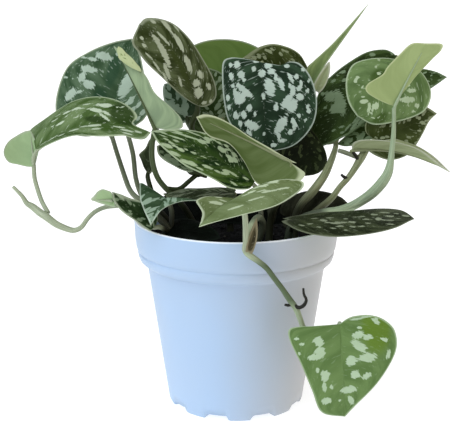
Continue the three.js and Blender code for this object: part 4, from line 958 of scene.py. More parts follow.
def vine_front() -> LeafyStem:
    """Trail over the front rim: the hanging leaf, the rim leaf and the long leaf above it."""
    stalks = [
        Stalk([(9.5, -31, 80), (9.5, -31, 91), (12, -31.5, 98), (12.5, -34, 104), (10, -41, 108),
                (6.5, -50, 106), (4.3, -56, 100), (4.3, -57.5, 95.5), (9.8, -57.5, 91), (13.8, -57, 87.5),
                (17.5, -57, 82.5), (21.5, -56.5, 77), (24.5, -57, 72.5), (28, -57, 67.5), (30, -57, 62.5),
                (32, -56.5, 57.5), (36, -56, 54.5), (41, -56, 54.3), (45.5, -57, 56), (48.6, -60, 60)],
            [2, 2, 1.8, 1.7, 1.6, 1.5, 1.5, 1.6, 1.4, 1.3, 1.3, 1.3, 1.5, 1.5, 1.4, 1.3, 1.2, 1.2, 1.2,
                1.1], "front"),
        Stalk([(26, -57.2, 70.4), (29, -58, 68.2), (31.7, -58.7, 69.6), (32.8, -58.7, 72.3),
                (31.6, -58.7, 75), (31.3, -58.7, 78)], [0.8, 0.95, 0.9, 0.75, 0.65, 0.5], "root"),
        Stalk([(26.6, -56.8, 69.8), (24.4, -57.3, 69.1), (22.6, -57.5, 69.5)], [0.85, 0.75, 0.6], "root"),
    ]
    blades = [
        Blade("rim_front", (-0.2, -68, 123.4), (-16.9, -98, 117.9), (-0.34, -0.42, 0.84), (30.6, 10),
            fold=(40, 7, 30, 30), cup=(19, 0), skin="rim_front", petiole="pale", girth=1.35,
            left=[(-0.04, 0.15), (-0.12, 0.34), (-0.13, 0.58), (-0.22, 0.8), (-0.32, 0.96), (-0.05, 1),
                (0.42, 0.93), (0.74, 0.53)],
            right=[(0.12, 0.25), (0.24, 0.55), (0.39, 0.83), (0.52, 0.97), (0.58, 1), (0.65, 0.71),
                (0.74, 0.33), (0.87, 0.14)],
            stalk=[(2.3, -66, 120), (3.4, -64.3, 115), (3.8, -62, 109.6), (3.9, -59.5, 101.8),
                (4, -57.8, 96)],
            splashes=[(14.5, 3, 3.6, 1.2, 45), (9, 5, 2, 0.8, 45), (9.5, 2, 2, 0.6, 60),
                (19.5, -11, 3.8, 1, -55), (11.3, -16, 4, 0.9, -44), (3, -17.5, 2.2, 1.3, -45),
                (1.5, -20, 3, 0.8, -50), (2.5, -15, 2.5, 0.7, -50), (-2.5, -23.5, 3, 0.8, -50),
                (2.4, -27, 1.2, 0.8, -45), (-4, -18.5, 2.5, 0.8, -60), (0, -12, 2.5, 0.8, -60),
                (3.5, -11, 2, 0.7, -60), (-1, -15, 2, 0.8, -60), (6, -9, 2, 0.6, -50)]),
        Blade("long_front", (8.2, -36, 124), (-41.3, -31, 148.2), (0.42, -0.45, 0.78), (16.3, 17.9),
            fold=(15, 10, 15, 10), cup=(20, 20), skin="long_dark",
            left=[(0.02, 0.48), (0.09, 0.78), (0.19, 0.97), (0.31, 1), (0.45, 1), (0.6, 0.96), (0.75, 0.78),
                (0.89, 0.49)],
            right=[(0, 0.26), (0.05, 0.64), (0.18, 0.91), (0.32, 1), (0.49, 0.87), (0.66, 0.66),
                (0.82, 0.39), (0.94, 0.16)],
            stalk=[(9.5, -35.3, 120.5), (11, -35, 113), (12.2, -34.5, 105)],
            shades=[(16, 8, 12, 9), (6, 8, 6, 6)],
            splashes=[(40, 5, 7.5, 0.6, -8), (45, 5.5, 4, 0.5, -8), (37, 9, 4, 0.6, -5),
                (30, 7, 3, 0.6, -10), (43, 1.5, 4, 0.5, -6), (29.5, 9.5, 2, 1.7), (31, 5.5, 2, 0.9, -10),
                (27, 11.5, 1, 1), (21, 7.5, 2.4, 1.6, 20), (23.5, 11, 1.6, 0.8, 10), (20, 11.5, 1.4, 0.9),
                (18.5, 9.5, 2, 0.8, -30), (16.6, 5.2, 1.8, 1.2), (14.7, 8.5, 1.8, 1.3, 20),
                (13.2, 5.5, 2, 1.6, -20), (15, 3.4, 1.5, 1), (9.3, 10.5, 1.5, 0.8), (42.5, -1, 1.6, 1),
                (38, -7, 1.8, 1.2), (32, -5, 1.8, 0.8, 20), (36, -5, 1, 0.6), (27.2, -4.5, 2, 0.5, 10),
                (20, -4.5, 1.2, 0.6), (23.3, -10.5, 2.6, 1, 10), (18, -10, 1.6, 0.8, 10),
                (14.5, -6.5, 2, 2), (11.3, -5, 3.2, 1), (15, -9, 1.8, 1, 10), (4.7, -2, 1.8, 1, 20),
                (9, -11.5, 2, 0.7), (2.5, 4, 0.6, 0.6), (45, -8, 3, 1.4), (40, -11.5, 3, 1.2),
                (33, -13.5, 3.4, 1.2), (30.5, -13, 2.5, 1.4), (44, -4.5, 1.6, 0.8), (41.5, -6, 1.6, 0.8),
                (47, -3, 1.5, 0.7), (49, -1, 2, 0.5), (50, 1.5, 2, 0.5), (34, 12.5, 3, 0.6),
                (26, -14, 2, 0.6)]),
        Blade("hanging", (48.7, -62, 61.4), (52.5, -58, 12.7), (0.12, -1, 0.2), (26.2, 24.7), arch=0.06,
            skin="hanging", petiole="pale",
            left=[(-0.04, 0.12), (-0.06, 0.28), (-0.05, 0.56), (0.01, 0.81), (0.14, 1), (0.35, 0.99),
                (0.62, 0.66), (0.86, 0.22)],
            right=[(-0.01, 0.3), (-0.02, 0.6), (-0.03, 0.82), (-0.01, 1), (0.1, 1), (0.34, 0.83),
                (0.63, 0.65), (0.9, 0.47)],
            stalk=[(48.4, -60.3, 60), (45.8, -57.6, 56.8)], shades=[(3, -17, 17, 9)],
            splashes=[(6.8, 11.3, 2.2, 2.4), (12.1, 11, 3, 2.3, 10), (14, 14.1, 1.4, 3),
                (20.4, 12.9, 1.4, 0.9), (24, 9.4, 3, 2.1), (30, 9.9, 2.4, 1.1), (30.5, 6.5, 1.2, 0.8),
                (37.8, 9.2, 1.8, 2.4), (38.6, 2.7, 0.8, 0.8), (33.3, -1.6, 1.9, 4),
                (39.4, -3, 2.8, 1.3, 15), (25.5, -5.5, 2.2, 2.4, 30), (27, -10.8, 1.8, 2.2),
                (18, -3.8, 2.4, 2.4), (17.7, -11.6, 2.2, 4.6), (11, -8, 4.6, 2, 45), (7.6, -12.6, 1.4, 2.4),
                (6, -8, 1.6, 2.8), (2.6, -9, 0.7, 1.2), (1.3, -17.4, 1.8, 0.9, 60), (10, -20.7, 2.4, 1, 70),
                (17.7, -22.2, 2.6, 1.1, -10), (-1.5, -8, 3, 0.5, 90), (-2, -13, 3, 0.5, 90),
                (-0.5, -16.5, 2, 0.5, 90), (4.2, 21.4, 0.7, 1.4), (7, 19.3, 0.7, 1.3),
                (11.4, 20.8, 0.9, 0.9)]),
        Blade("sheath_front", (5.2, -58.4, 95.4), (9, -58, 112), (0.2, -1, 0.1), (2.2, 2.4),
            fold=(25, 20, 25, 20), cup=(10, 10), arch=0.06, skin="dry_sheath", splashing=Splashing.NONE,
            petiole="paper", girth=0.8, left=heart(0, 0.3, 0.2), right=heart(0, 0.3, 0.2)),
    ]
    return LeafyStem("vine_front", stalks, blades)


def stem_centre() -> LeafyStem:
    """Stand in the middle: the folded pale leaf and the large silver leaf."""
    stalks = [
        Stalk([(17, -5, 80), (17, -5, 92), (18, -7.5, 101), (20.5, -17, 110), (23.5, -28, 119),
                (25.4, -36.5, 127.5), (25.6, -40.2, 133.6)], [1.9, 1.9, 1.7, 1.5, 1.3, 0.9, 0.6], "olive"),
    ]
    blades = [
        Blade("folded", (25.6, -41, 135.2), (-19.3, -39.5, 156.6), (-0.25, 0.9, 0.08), (4, 17.3),
            fold=(20, 15, 20, 15), cup=(10, 10), skin="folded", splashing=Splashing.SPARSE, petiole="olive",
            girth=0.6,
            left=[(-0.03, 0.1), (-0.05, 0.2), (0, 0.22), (0.1, 0.25), (0.26, 0.4), (0.46, 0.57),
                (0.66, 0.95), (0.83, 1), (0.94, 0.66)],
            right=[(-0.04, 0.05), (-0.1, 0.06), (-0.17, 0.14), (-0.13, 0.5), (0.03, 0.92), (0.21, 1),
                (0.4, 0.6), (0.6, 0.32), (0.82, 0.35)],
            stalk=[(25.5, -39.6, 132)]),
        Blade("silver_big", (13, 8, 176.9), (16.2, 2, 131.9), (-0.03, -1, 0.1), (26.5, 20.8),
            fold=(12, 6, 12, 6), skin="silver_big", petiole="olive",
            left=[(0.03, 0.19), (0.05, 0.36), (0.02, 0.54), (0.06, 0.74), (0.23, 0.93), (0.49, 1),
                (0.74, 0.88), (0.94, 0.51)],
            right=[(-0.03, 0.24), (-0.06, 0.53), (-0.07, 0.77), (-0.03, 0.95), (0.15, 1), (0.41, 0.99),
                (0.63, 0.9), (0.87, 0.55)],
            stalk=[(13, 9.7, 175), (13.5, 12.5, 168), (15, 13.5, 148), (16, 11, 126), (17, 0, 105),
                (17.6, -5, 97)],
            splashes=[(0.5, 16, 1.3, 1), (0.5, 12.7, 2, 1.5), (6, 16, 1.8, 1.2), (5.5, 11, 1.8, 1.8),
                (8.5, 9.7, 1, 1), (13.5, 10, 5.6, 1.4, -45), (11, 15.5, 1.3, 1), (14, 14.7, 1.5, 1),
                (16.5, 18.4, 1.8, 1), (17.5, 12.4, 3, 2.8), (22.5, 8, 1.8, 1.3), (21.5, 18.2, 1.5, 1),
                (25.7, 15, 2, 1.5), (25.7, 11, 2, 1.5), (31, 7.7, 4, 2, -58), (25.5, 5.4, 1.2, 0.8),
                (36, 1.5, 1, 0.8), (30, 13, 1.6, 1), (35, 9, 2, 1, -40), (5.5, 0.5, 2, 2),
                (3, 4.5, 1.5, 1.2), (-0.5, 3, 0.7, 1.5), (2, -3, 1.6, 2), (5, -4.5, 1.5, 2),
                (13, -3, 4.8, 2.6, 10), (8, -6.5, 2, 0.9), (11.5, -9, 3.6, 1.3, 20), (17, 0.6, 2, 0.8),
                (3, -12.5, 0.9, 1.3), (5.3, -20.5, 1, 1.2), (9, -14, 3, 1, 25), (8.5, -17, 1.5, 1.2),
                (13, -13.2, 2, 0.6), (12, -19, 2, 0.8), (14.5, -17.8, 1.5, 1), (15.5, -14.6, 2.5, 1.4),
                (11, -23, 1.2, 0.7), (16, -22, 1.2, 1), (18.5, -18, 1.8, 2), (20.5, -11, 4, 1.6, -35),
                (23, -5.6, 2, 1.3), (23, -13.6, 3, 2.6), (23.5, -21.7, 1, 1), (26, -22, 1.3, 1.5),
                (32, -7.4, 5.4, 2.2, -35), (30.5, -13.7, 2, 1), (38, -6, 2.5, 1), (33, -14.5, 2.5, 1),
                (36, -12, 1.3, 1.5), (40, -7.7, 1, 2), (30.5, -20, 1, 0.8), (28, -17, 1.4, 1),
                (42, -3, 1, 1.6)]),
        Blade("shaded_right", (34.5, 13, 144), (40.3, 13, 117.6), (0.1, -0.9, 0.3), (8.8, 19), arch=0.06,
            skin="deep_shade", splashing=Splashing.FINE, petiole="dark",
            left=[(0.05, 0.3), (0.15, 0.5), (0.3, 0.7), (0.5, 0.92), (0.7, 1), (0.82, 0.95), (0.92, 0.7),
                (0.98, 0.35)],
            right=[(0.02, 0.3), (0.08, 0.6), (0.2, 0.85), (0.4, 1), (0.6, 0.95), (0.78, 0.75), (0.9, 0.5),
                (0.97, 0.25)],
            stalk=[(33.5, 14.5, 142), (31, 14.5, 134), (27, 10, 118), (21, 2, 104), (18.3, -5, 96)]),
    ]
    return LeafyStem("stem_centre", stalks, blades)


def stem_centre_back() -> LeafyStem:
    """Stand at the back: the tall olive leaf and the leaves behind the middle."""
    stalks = [
        Stalk([(-3, 14, 80), (-3, 14, 92), (-3, 15, 104), (-4, 18, 118), (-6, 23, 133), (-7.3, 26.5, 146)],
            [1.9, 1.9, 1.8, 1.6, 1.4, 1.2], "olive"),
    ]
    blades = [
        Blade("back_small", (-11, 26, 139.5), (-14, 28, 171.7), (0.2, -0.9, 0.2), (17, 16), arch=0.06,
            skin="mid_shade", splashing=Splashing.DENSE, petiole="olive",
            stalk=[(-9, 25.5, 137.5), (-6.4, 24, 134.5)]),
        Blade("tall_olive", (-19.2, 2, 155.6), (-48.3, -2, 197), (0.45, -0.8, 0.2), (14.4, 12.2),
            fold=(10, 10, 15, 10), cup=(20, 20), sweep=0.1, skin="olive", petiole="dark", girth=1.5,
            left=[(0.04, 0.21), (0.11, 0.44), (0.22, 0.68), (0.37, 0.87), (0.54, 0.98), (0.71, 1),
                (0.86, 0.9), (0.98, 0.7)],
            right=[(-0.02, 0.22), (-0.01, 0.6), (0.05, 0.9), (0.18, 1), (0.37, 0.95), (0.59, 0.95),
                (0.78, 0.85), (0.96, 0.41)],
            stalk=[(-20, 4.5, 152), (-23, 8, 144), (-19, 12, 134), (-10, 16, 125.5), (-4.5, 18, 115)],
            shades=[(22, -1.5, 16, 2.4, -6)],
            splashes=[(34, -4, 9.5, 1.5, -18), (40, 7.5, 4, 1.1, 15), (31, 5.6, 5, 1.2, 12),
                (20.5, 2.8, 4.5, 1.4, 12), (46, 4.8, 1.5, 0.8), (46.5, -6, 1.2, 0.9),
                (43.4, -8.4, 1.4, 0.9), (37.7, 1.4, 4.5, 0.6, 5), (13.2, 6.1, 2, 1.5), (10.6, 2.2, 1.8, 2),
                (6, 1.5, 2.4, 2.4), (0.5, 7, 1, 1), (0.7, 3.3, 0.8, 1.4), (7, 8, 1.6, 1.2),
                (24, -9.5, 5, 1, -14), (30, -12, 5, 0.5, -6), (22, -12, 4, 0.5, -6), (38, -11, 3, 0.5),
                (41, -1, 3, 0.5), (36, 10, 2.4, 0.5, 10), (15, -6, 3, 0.7, -10)]),
        Blade("tiny_back", (-25.8, 10, 149.2), (-36.9, 10, 165.7), (0.4, -0.8, 0.2), (7, 12), arch=0.06,
            skin="silver_small", splashing=Splashing.DENSE, petiole="dark",
            stalk=[(-25, 9.6, 147.3), (-23, 8.2, 143)]),
        Blade("plain_back", (15.2, 44, 160.1), (-31.8, 36, 171.8), (0, 1, 0.1), (20.5, 20), cup=(10, 10),
            skin="plain_back", splashing=Splashing.SPARSE, petiole="olive", left=heart(1, 0.34, 1),
            right=heart(1, 0.34, 1),
            stalk=[(17.5, 43, 157.5), (17, 38, 146), (9, 30, 130), (-3.5, 19, 116)]),
        Blade("striped_back", (37.5, 24, 170), (3.5, 20, 178), (0, -1, 0.2), (16, 10.4), fold=(8, 5, 8, 5),
            arch=0.03, skin="striped", splashing=Splashing.FINE, petiole="olive", left=heart(1, 0.34, 1),
            right=[(0.02, 0.2), (0.08, 0.45), (0.19, 0.78), (0.36, 0.98), (0.59, 1), (0.77, 0.75),
                (0.89, 0.4), (0.965, 0.12)],
            stalk=[(37, 26, 167.5), (33.5, 29, 158), (27, 31, 148), (18, 31, 138), (8, 28, 128)]),
        # A near-black low leaf at the back of the pot: partly a real dark leaf, partly painted shade over
        # the pot's shaded inner wall.
        Blade("bed_back", (31, 16, 99.5), (-41, 17, 100), (0, -1, 0.3), (9, 7), fold=(5, 5, 5, 5),
            cup=(10, 10), arch=0.04, skin="bed", splashing=Splashing.NONE, petiole="dark",
            left=[(-0.02, 0.4), (0, 0.8), (0.15, 1), (0.35, 1), (0.55, 1), (0.75, 1), (0.9, 0.95),
                (0.98, 0.6)],
            right=[(-0.02, 0.4), (0, 0.8), (0.15, 1), (0.35, 1), (0.55, 1), (0.75, 1), (0.9, 0.95),
                (0.98, 0.6)]),
    ]
    return LeafyStem("stem_centre_back", stalks, blades)


def stem_right_back() -> LeafyStem:
    """Stand at the back right: the large rolled leaf, the round leaf and the young rolled spike."""
    stalks = [
        Stalk([(30, -7, 80), (30, -7, 92), (30, -8, 100), (32.8, -9, 107), (37.4, -8, 112),
                (41.6, -5, 116.5), (45.3, -1, 121), (48.3, 5, 125.5), (50.8, 14, 128.5), (52.5, 22, 130.5),
                (53.5, 28, 133.5), (56.5, 32, 138), (64, 36, 145), (72, 39, 151), (79, 41, 158),
                (84, 38.3, 174)],
            [1.9, 1.9, 1.9, 2, 2.3, 2.3, 2.1, 1.8, 1.6, 1.4, 1.3, 1.3, 1.3, 1.3, 1.3, 1.2], "olive"),
    ]
    blades = [
        Blade("rolled_right", (84.8, 36, 177), (40.1, 22, 129.2), (-0.2, -0.95, 0.2), (16.5, 18.3),
            arch=0.06, petiole="olive",
            left=[(0.01, 0.28), (0.08, 0.64), (0.19, 0.9), (0.31, 1), (0.42, 0.93), (0.55, 0.72),
                (0.71, 0.58), (0.86, 0.33)],
            right=[(0, 0.17), (0.03, 0.4), (0.13, 0.68), (0.26, 0.85), (0.42, 0.98), (0.57, 1),
                (0.71, 0.82), (0.86, 0.5)],
            stalk=[(84.6, 37.6, 175.5), (83.6, 38.8, 171)], shades=[(57, 5, 14, 9), (20, 12, 12, 2.5)],
            splashes=[(8.3, 9.7, 1.6, 1, 45), (0.3, 2.7, 1, 1), (25.6, 15, 1.6, 0.8, 30),
                (28.5, 16, 0.8, 0.8), (32.4, 15.5, 1.6, 0.8, 20), (28.5, 11.5, 1.5, 1), (40, 11.2, 3, 3),
                (38.8, 5.4, 6.8, 2.6, -59), (43, 5, 3, 2.2), (41.4, 15.5, 1, 1), (46, 9.2, 1, 0.8),
                (48, -3.9, 1.5, 0.6, -30), (52, -2, 1.2, 0.6, -30), (50, -6, 1.2, 0.6, -30),
                (42, -8.4, 5, 0.7, 4), (42, -10.4, 6, 0.6, -12), (40, -7, 4, 0.5, 4), (46, -6.6, 3, 0.5),
                (38, -10, 4, 0.9), (52.5, -7.3, 6.5, 0.5, -22), (61.5, -3, 6, 0.45, -30)]),
        Blade("round_right", (90.4, 10, 175), (61.8, 8, 149.5), (0, -1, 0.35), (20.9, 21.1),
            skin="round_mid", petiole="olive",
            left=[(-0.01, 0.16), (0, 0.44), (0.05, 0.71), (0.15, 0.9), (0.3, 1), (0.49, 0.91), (0.69, 0.72),
                (0.91, 0.43)],
            right=[(0.02, 0.19), (0.11, 0.37), (0.24, 0.63), (0.42, 0.88), (0.59, 1), (0.75, 0.89),
                (0.88, 0.65), (0.97, 0.34)],
            stalk=[(90.5, 12.5, 174), (89.5, 22, 168), (85.5, 34, 162), (80.5, 40.5, 158.5)],
            shades=[(17, 8, 6, 4), (31, -9, 6, 3)],
            splashes=[(25.5, 14.4, 1.2, 0.8), (27.3, 13.8, 0.8, 1), (14.9, 12.2, 0.8, 0.9),
                (15.9, 8.7, 1.2, 1), (11.5, 14, 0.6, 0.9), (26.7, 9.1, 1.2, 0.4, -10),
                (30.7, 3.1, 2.1, 1, 41), (29.6, 5.2, 1, 0.5, 41), (28.1, -2.7, 2, 1.6),
                (31.6, -1.6, 2.8, 0.8, 41), (30, 0, 1.4, 0.7, 41), (31.4, -4, 1.6, 0.5, 41),
                (33, -6, 1.2, 0.4, -60), (30.5, -8, 0.8, 0.5), (14, -11, 3.8, 1.5, -41),
                (9.5, -8.8, 2, 1.1, -41), (8.6, -6, 0.7, 0.7), (12.4, -16.4, 1.2, 1.2),
                (15.5, -13.5, 0.6, 0.6), (15.7, -17.2, 1, 0.8)]),
        Blade("far_tip", (86.6, 38, 162), (111.9, 34, 166.2), (0, -0.6, 0.8), (9, 11), arch=0.04,
            splashing=Splashing.SPARSE, petiole="olive", left=heart(1, 0.34, 0), right=heart(1, 0.34, 0),
            stalk=[(84.5, 39, 160.5), (80, 40.5, 158)]),
        Blade("under_right", (82, 27, 143.3), (53.9, 24, 131.7), (0, -0.8, 0.6), (5, 6.5), arch=0.03,
            petiole="olive",
            left=[(-0.01, 0.33), (0.04, 0.73), (0.16, 0.9), (0.34, 1), (0.51, 1), (0.65, 0.94),
                (0.81, 0.77), (0.92, 0.47)],
            right=[(0.02, 0.41), (0.13, 0.82), (0.3, 1), (0.46, 0.87), (0.62, 0.63), (0.77, 0.44),
                (0.88, 0.28), (0.97, 0.15)],
            stalk=[(83.3, 29.5, 144.3), (81, 34, 147.5), (74.5, 39.4, 153)]),
        Blade("young_spike", (37.2, 12, 165), (67.6, 16, 206.4), (-0.3, -0.9, -0.1), (6.2, 2.2),
            fold=(10, 10, 10, 10), cup=(-20, -20), arch=0, skin="young", splashing=Splashing.NONE,
            petiole="olive", girth=1.1, ripple=0,
            left=[(0.03, 0.4), (0.07, 0.75), (0.136, 1), (0.21, 0.88), (0.3, 0.72), (0.45, 0.47),
                (0.62, 0.3), (0.8, 0.15)],
            right=[(0.02, 0.7), (0.08, 1), (0.15, 0.85), (0.23, 0.4), (0.36, 0.3), (0.5, 0.25), (0.65, 0.2),
                (0.82, 0.12)],
            stalk=[(37, 12.5, 163), (36.8, 14, 157), (36.5, 17, 151), (36.5, 22, 145), (37.5, 26.5, 139.5),
                (42, 28.5, 134), (48, 28, 132), (53.3, 27, 133)]),
        Blade("young_sheath", (40.5, 11.5, 162), (47.5, 11.5, 177), (0.3, -0.9, 0), (3.2, 3.2),
            fold=(30, 20, 30, 20), cup=(10, 10), skin="pale_arch", splashing=Splashing.NONE,
            petiole="olive", girth=1.1, ripple=0, left=heart(0, 0.3, 0.5), right=heart(0, 0.3, 0.5),
            stalk=[(38.7, 12.5, 160), (37.2, 14, 157)]),
        # A dark brown low leaf on the mix: partly a real dead leaf, partly painted shade over the pot's
        # shaded inside.
        Blade("bed_right", (27, 0, 98), (57, -4, 106.5), (0, -1, 0.35), (11, 8), cup=(10, 10), arch=0.04,
            skin="bed_brown", splashing=Splashing.NONE, petiole="dark",
            stalk=[(28.5, -3, 97), (30, -7, 95)]),
    ]
    return LeafyStem("stem_right_back", stalks, blades)


def vine_right() -> LeafyStem:
    """Lean to the right: thick petioles with the upright pale leaf, the arched leaf and the rim leaf."""
    stalks = [
        Stalk([(26, -20, 80), (26, -20, 92), (28, -20, 99), (34, -20.5, 103.3), (42, -20.5, 105.3),
                (51, -19.5, 106.2), (57.6, -18, 108.2), (63, -18, 111.4), (67.6, -20, 115.6),
                (72, -21, 121), (74.8, -20.7, 126), (76, -19.6, 131.5), (76.6, -18.5, 137),
                (77.2, -17.8, 144), (77.3, -17, 152), (77.2, -16.3, 157.3)],
            [2.1, 2.1, 1.9, 1.9, 2.1, 2.3, 2.4, 2.5, 2.7, 2.7, 2.3, 1.7, 1.4, 1.2, 1, 1], "blue"),
        Stalk([(38, -20, 104.5), (43, -15.5, 107.5), (48, -12, 111), (52.4, -8, 115.8), (56.7, -5, 119.8),
                (60.3, -3, 124.6), (63.3, -2, 129.6), (66, 0, 133.5)],
            [1.9, 1.8, 1.6, 1.5, 1.5, 1.7, 2.2, 1.8], "olive"),
        Stalk([(62, -2, 129.5), (58.7, -3, 131.1), (55, -4.2, 132.8), (51.6, -5, 134)], [1, 1.1, 1.2, 1.1],
            "grey"),
        Stalk([(62, -3, 129), (60, -4, 131.5), (58.5, -4.3, 134)], [0.9, 0.8, 0.6], "root"),
        Stalk([(56.5, -5.5, 119.5), (54.3, -6.5, 120.8), (53, -6.8, 122)], [0.9, 0.8, 0.6], "root"),
    ]
    blades = [
        Blade("flag", (77.2, -16, 158.3), (93.2, -10, 188.3), (-0.25, 0.93, 0.1), (8.4, 17.2),
            fold=(0, 0, 10, 10), cup=(10, 10), arch=0.02, skin="flag", splashing=Splashing.NONE,
            petiole="blue", girth=1,
            left=[(0.1, 0.06), (0.21, 0.12), (0.34, 0.25), (0.5, 0.4), (0.68, 0.6), (0.87, 0.8), (1.02, 1),
                (1.1, 0.84)],
            right=[(-0.02, 0.25), (-0.03, 0.7), (0, 0.97), (0.1, 1), (0.3, 0.75), (0.44, 0.7), (0.68, 0.55),
                (0.89, 0.39)],
            stalk=[(77.2, -16.3, 155.5)]),
        Blade("pointed_right", (70.9, 8, 137.6), (102.4, 6, 151.1), (0.2, -0.95, 0.2), (13.6, 14.2),
            arch=0.06, skin="striped", splashing=Splashing.FINE, petiole="olive",
            left=[(-0.07, 0.36), (-0.01, 0.72), (0.15, 0.96), (0.35, 1), (0.53, 0.97), (0.7, 0.8),
                (0.82, 0.58), (0.92, 0.3)],
            right=[(-0.1, 0.06), (-0.14, 0.3), (-0.07, 0.57), (0.1, 0.92), (0.33, 1), (0.5, 0.83),
                (0.68, 0.5), (0.85, 0.15)],
            stalk=[(69.8, 6, 136), (67, 1.2, 133.6)]),
        Blade("pale_arch", (58.4, -4, 134.6), (107.7, -8, 123.5), (0.2, 0.15, 1), (11.2, 9),
            fold=(40, 40, 40, 40), arch=0.08, skin="pale_arch", splashing=Splashing.NONE, petiole="olive",
            girth=1.1,
            left=[(0.04, 0.12), (0.12, 0.24), (0.22, 0.47), (0.35, 0.76), (0.48, 1), (0.63, 0.9),
                (0.77, 0.58), (0.9, 0.22)],
            right=[(0, 0.14), (0, 0.36), (0.03, 0.66), (0.14, 0.9), (0.4, 1), (0.6, 0.78), (0.76, 0.4),
                (0.9, 0.14)],
            stalk=[(58.8, -3, 132.6), (61.3, -2.2, 130)]),
        Blade("rim_right", (25.2, -30, 104.1), (86.5, -34, 105.6), (0, -0.1, 1), (14.8, 24.7),
            fold=(5, 5, 5, 5), arch=0.02, skin="rim_dark", petiole="olive",
            left=[(-0.02, 0.1), (-0.04, 0.16), (0.02, 0.29), (0.14, 0.33), (0.3, 0.5), (0.5, 0.67),
                (0.73, 1), (0.9, 0.87)],
            right=[(-0.03, 0.02), (-0.05, 0.06), (-0.01, 0.32), (0.07, 0.62), (0.21, 0.86), (0.4, 1),
                (0.63, 0.9), (0.84, 0.57)],
            stalk=[(26, -28.5, 102), (27.5, -24.5, 99.5), (27.2, -20.5, 96)],
            splashes=[(7, 11, 2.4, 0.8, 30), (11, 9.5, 1.5, 0.8), (13, 1.5, 2, 0.7),
                (17, 5.5, 2.2, 1.4, 40), (20.5, 1.5, 2.2, 0.8), (19, 9, 1.5, 0.8), (22, 10, 1.4, 0.9),
                (24, 9.5, 1.6, 1.6), (26.3, 9.5, 2, 1.2), (25, 14, 2, 0.8), (28, 4, 1.6, 0.8),
                (31, 9, 2.2, 1.4), (32.5, 1, 1.6, 0.7), (36, 0, 1.8, 0.7), (37.5, 5, 1.8, 0.9),
                (35, 14.5, 2, 0.8), (31, 15, 1.6, 0.8), (38.5, 10.5, 1.6, 0.9), (42, -2.5, 2, 0.9),
                (44, 3.5, 1.6, 2.6), (47, -6, 2.4, 0.9), (49.5, -1, 2.2, 1), (47, 5.5, 1.6, 0.8),
                (50, 5.5, 1.2, 0.8), (49, 11, 2.2, 0.7), (53, -5, 1.6, 0.7), (57.5, -2.5, 2, 1.3),
                (53.5, 2, 1, 0.8), (15, 14, 2, 0.7), (21.5, 16, 2.4, 0.6), (28, 18.5, 2.5, 0.6)]),
    ]
    return LeafyStem("vine_right", stalks, blades)

def plant() -> list[LeafyStem]:
    """Return the eight leafy stems. Their order sets the seeds of their splashes."""
    return [vine_left(), stem_back_left(), stem_mid_left(), vine_front(), stem_centre(), stem_centre_back(),
            stem_right_back(), vine_right()]


# -------------------------------------------------------------------------------------------------------
# pot and potting mix
# -------------------------------------------------------------------------------------------------------
@dataclass
class NurseryPot:
    """The thin-walled pot: a tapered wall, a stepped collar with two rings and a notched foot."""

    outside: Outline = field(default_factory=lambda: [
        (34.2, 0.0), (34.9, 0.5), (35.4, 1.6), (36.3, 8), (45.7, 72.5), (45.9, 74.6), (46.3, 75.4),
        (47.2, 75.9), (48.8, 76.6), (49.9, 77.7), (50.5, 79.4), (50.8, 81.2), (50.55, 81.8), (50.35, 82.1),
        (50.6, 82.5), (51.2, 83.2), (51.6, 84.6), (52.1, 88.5), (52.45, 97.2), (52.5, 98.0), (52.3, 98.4),
        (52.0, 98.5)])
    inside: Outline = field(default_factory=lambda: [
        (51.6, 98.5), (51.35, 98.3), (51.25, 97.6), (51.0, 88.5), (50.4, 84.8), (49.6, 82), (49.2, 79.4),
        (48.6, 77.9), (46.6, 76.6), (45.0, 75.4), (44.6, 72.5), (35.3, 8), (34.0, 4), (10, 4)])
    sides: int = 216
    lobes: int = 9
    first_lobe: float = -87.0
    notch_share: float = 0.5
    notch_height: float = 3.0
    notch_depth: float = 27.5
    notch_slope: float = 1.8

    def notch(self, angle: float) -> float:
        """Return how open the foot is at an angle in degrees, from 0 on a lobe to 1 in a notch."""
        pitch = 360 / self.lobes
        off = abs((angle - self.first_lobe + pitch / 2) % pitch - pitch / 2)
        edge = pitch * (1 - self.notch_share) / 2
        share = min(max((off - edge + self.notch_slope / 2) / self.notch_slope, 0.0), 1.0)
        return share * share * (3 - 2 * share)

    def build(self) -> bpy.types.Object:
        """Build and dress the pot.

        Returns:
            The pot.
        """
        under = [(0.6, 0.0), (14, 0.0), (self.notch_depth - 0.6, 0.0), (self.notch_depth, 0.0),
                 (self.notch_depth + 0.4, 0.0), (31, 0.0), (33.6, 0.0)]
        profile = under + self.outside + self.inside + [(0.6, 4)]
        points, faces = [], []
        for k in range(self.sides):
            degrees = 360 * k / self.sides
            a = math.radians(degrees)
            lift = self.notch(degrees) * self.notch_height
            for r, z in profile:
                raised = lift if r > self.notch_depth + 0.2 and z < self.notch_height else 0.0
                points.append((r * math.cos(a), r * math.sin(a), max(z, raised)))
        n = len(profile)
        for k in range(self.sides):
            j = (k + 1) % self.sides
            for i in range(n - 1):
                faces.append((k * n + i, j * n + i, j * n + i + 1, k * n + i + 1))
        faces.append(tuple(k * n for k in range(self.sides - 1, -1, -1)))
        faces.append(tuple(k * n + n - 1 for k in range(self.sides)))
        piece = mesh_piece("nursery_pot", np.array(points), faces)
        piece.data.materials.append(PotPolypropylene().material())
        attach(piece, "root")
        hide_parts("pot")
        LOG.info("pot: %s", piece.name)
        return piece


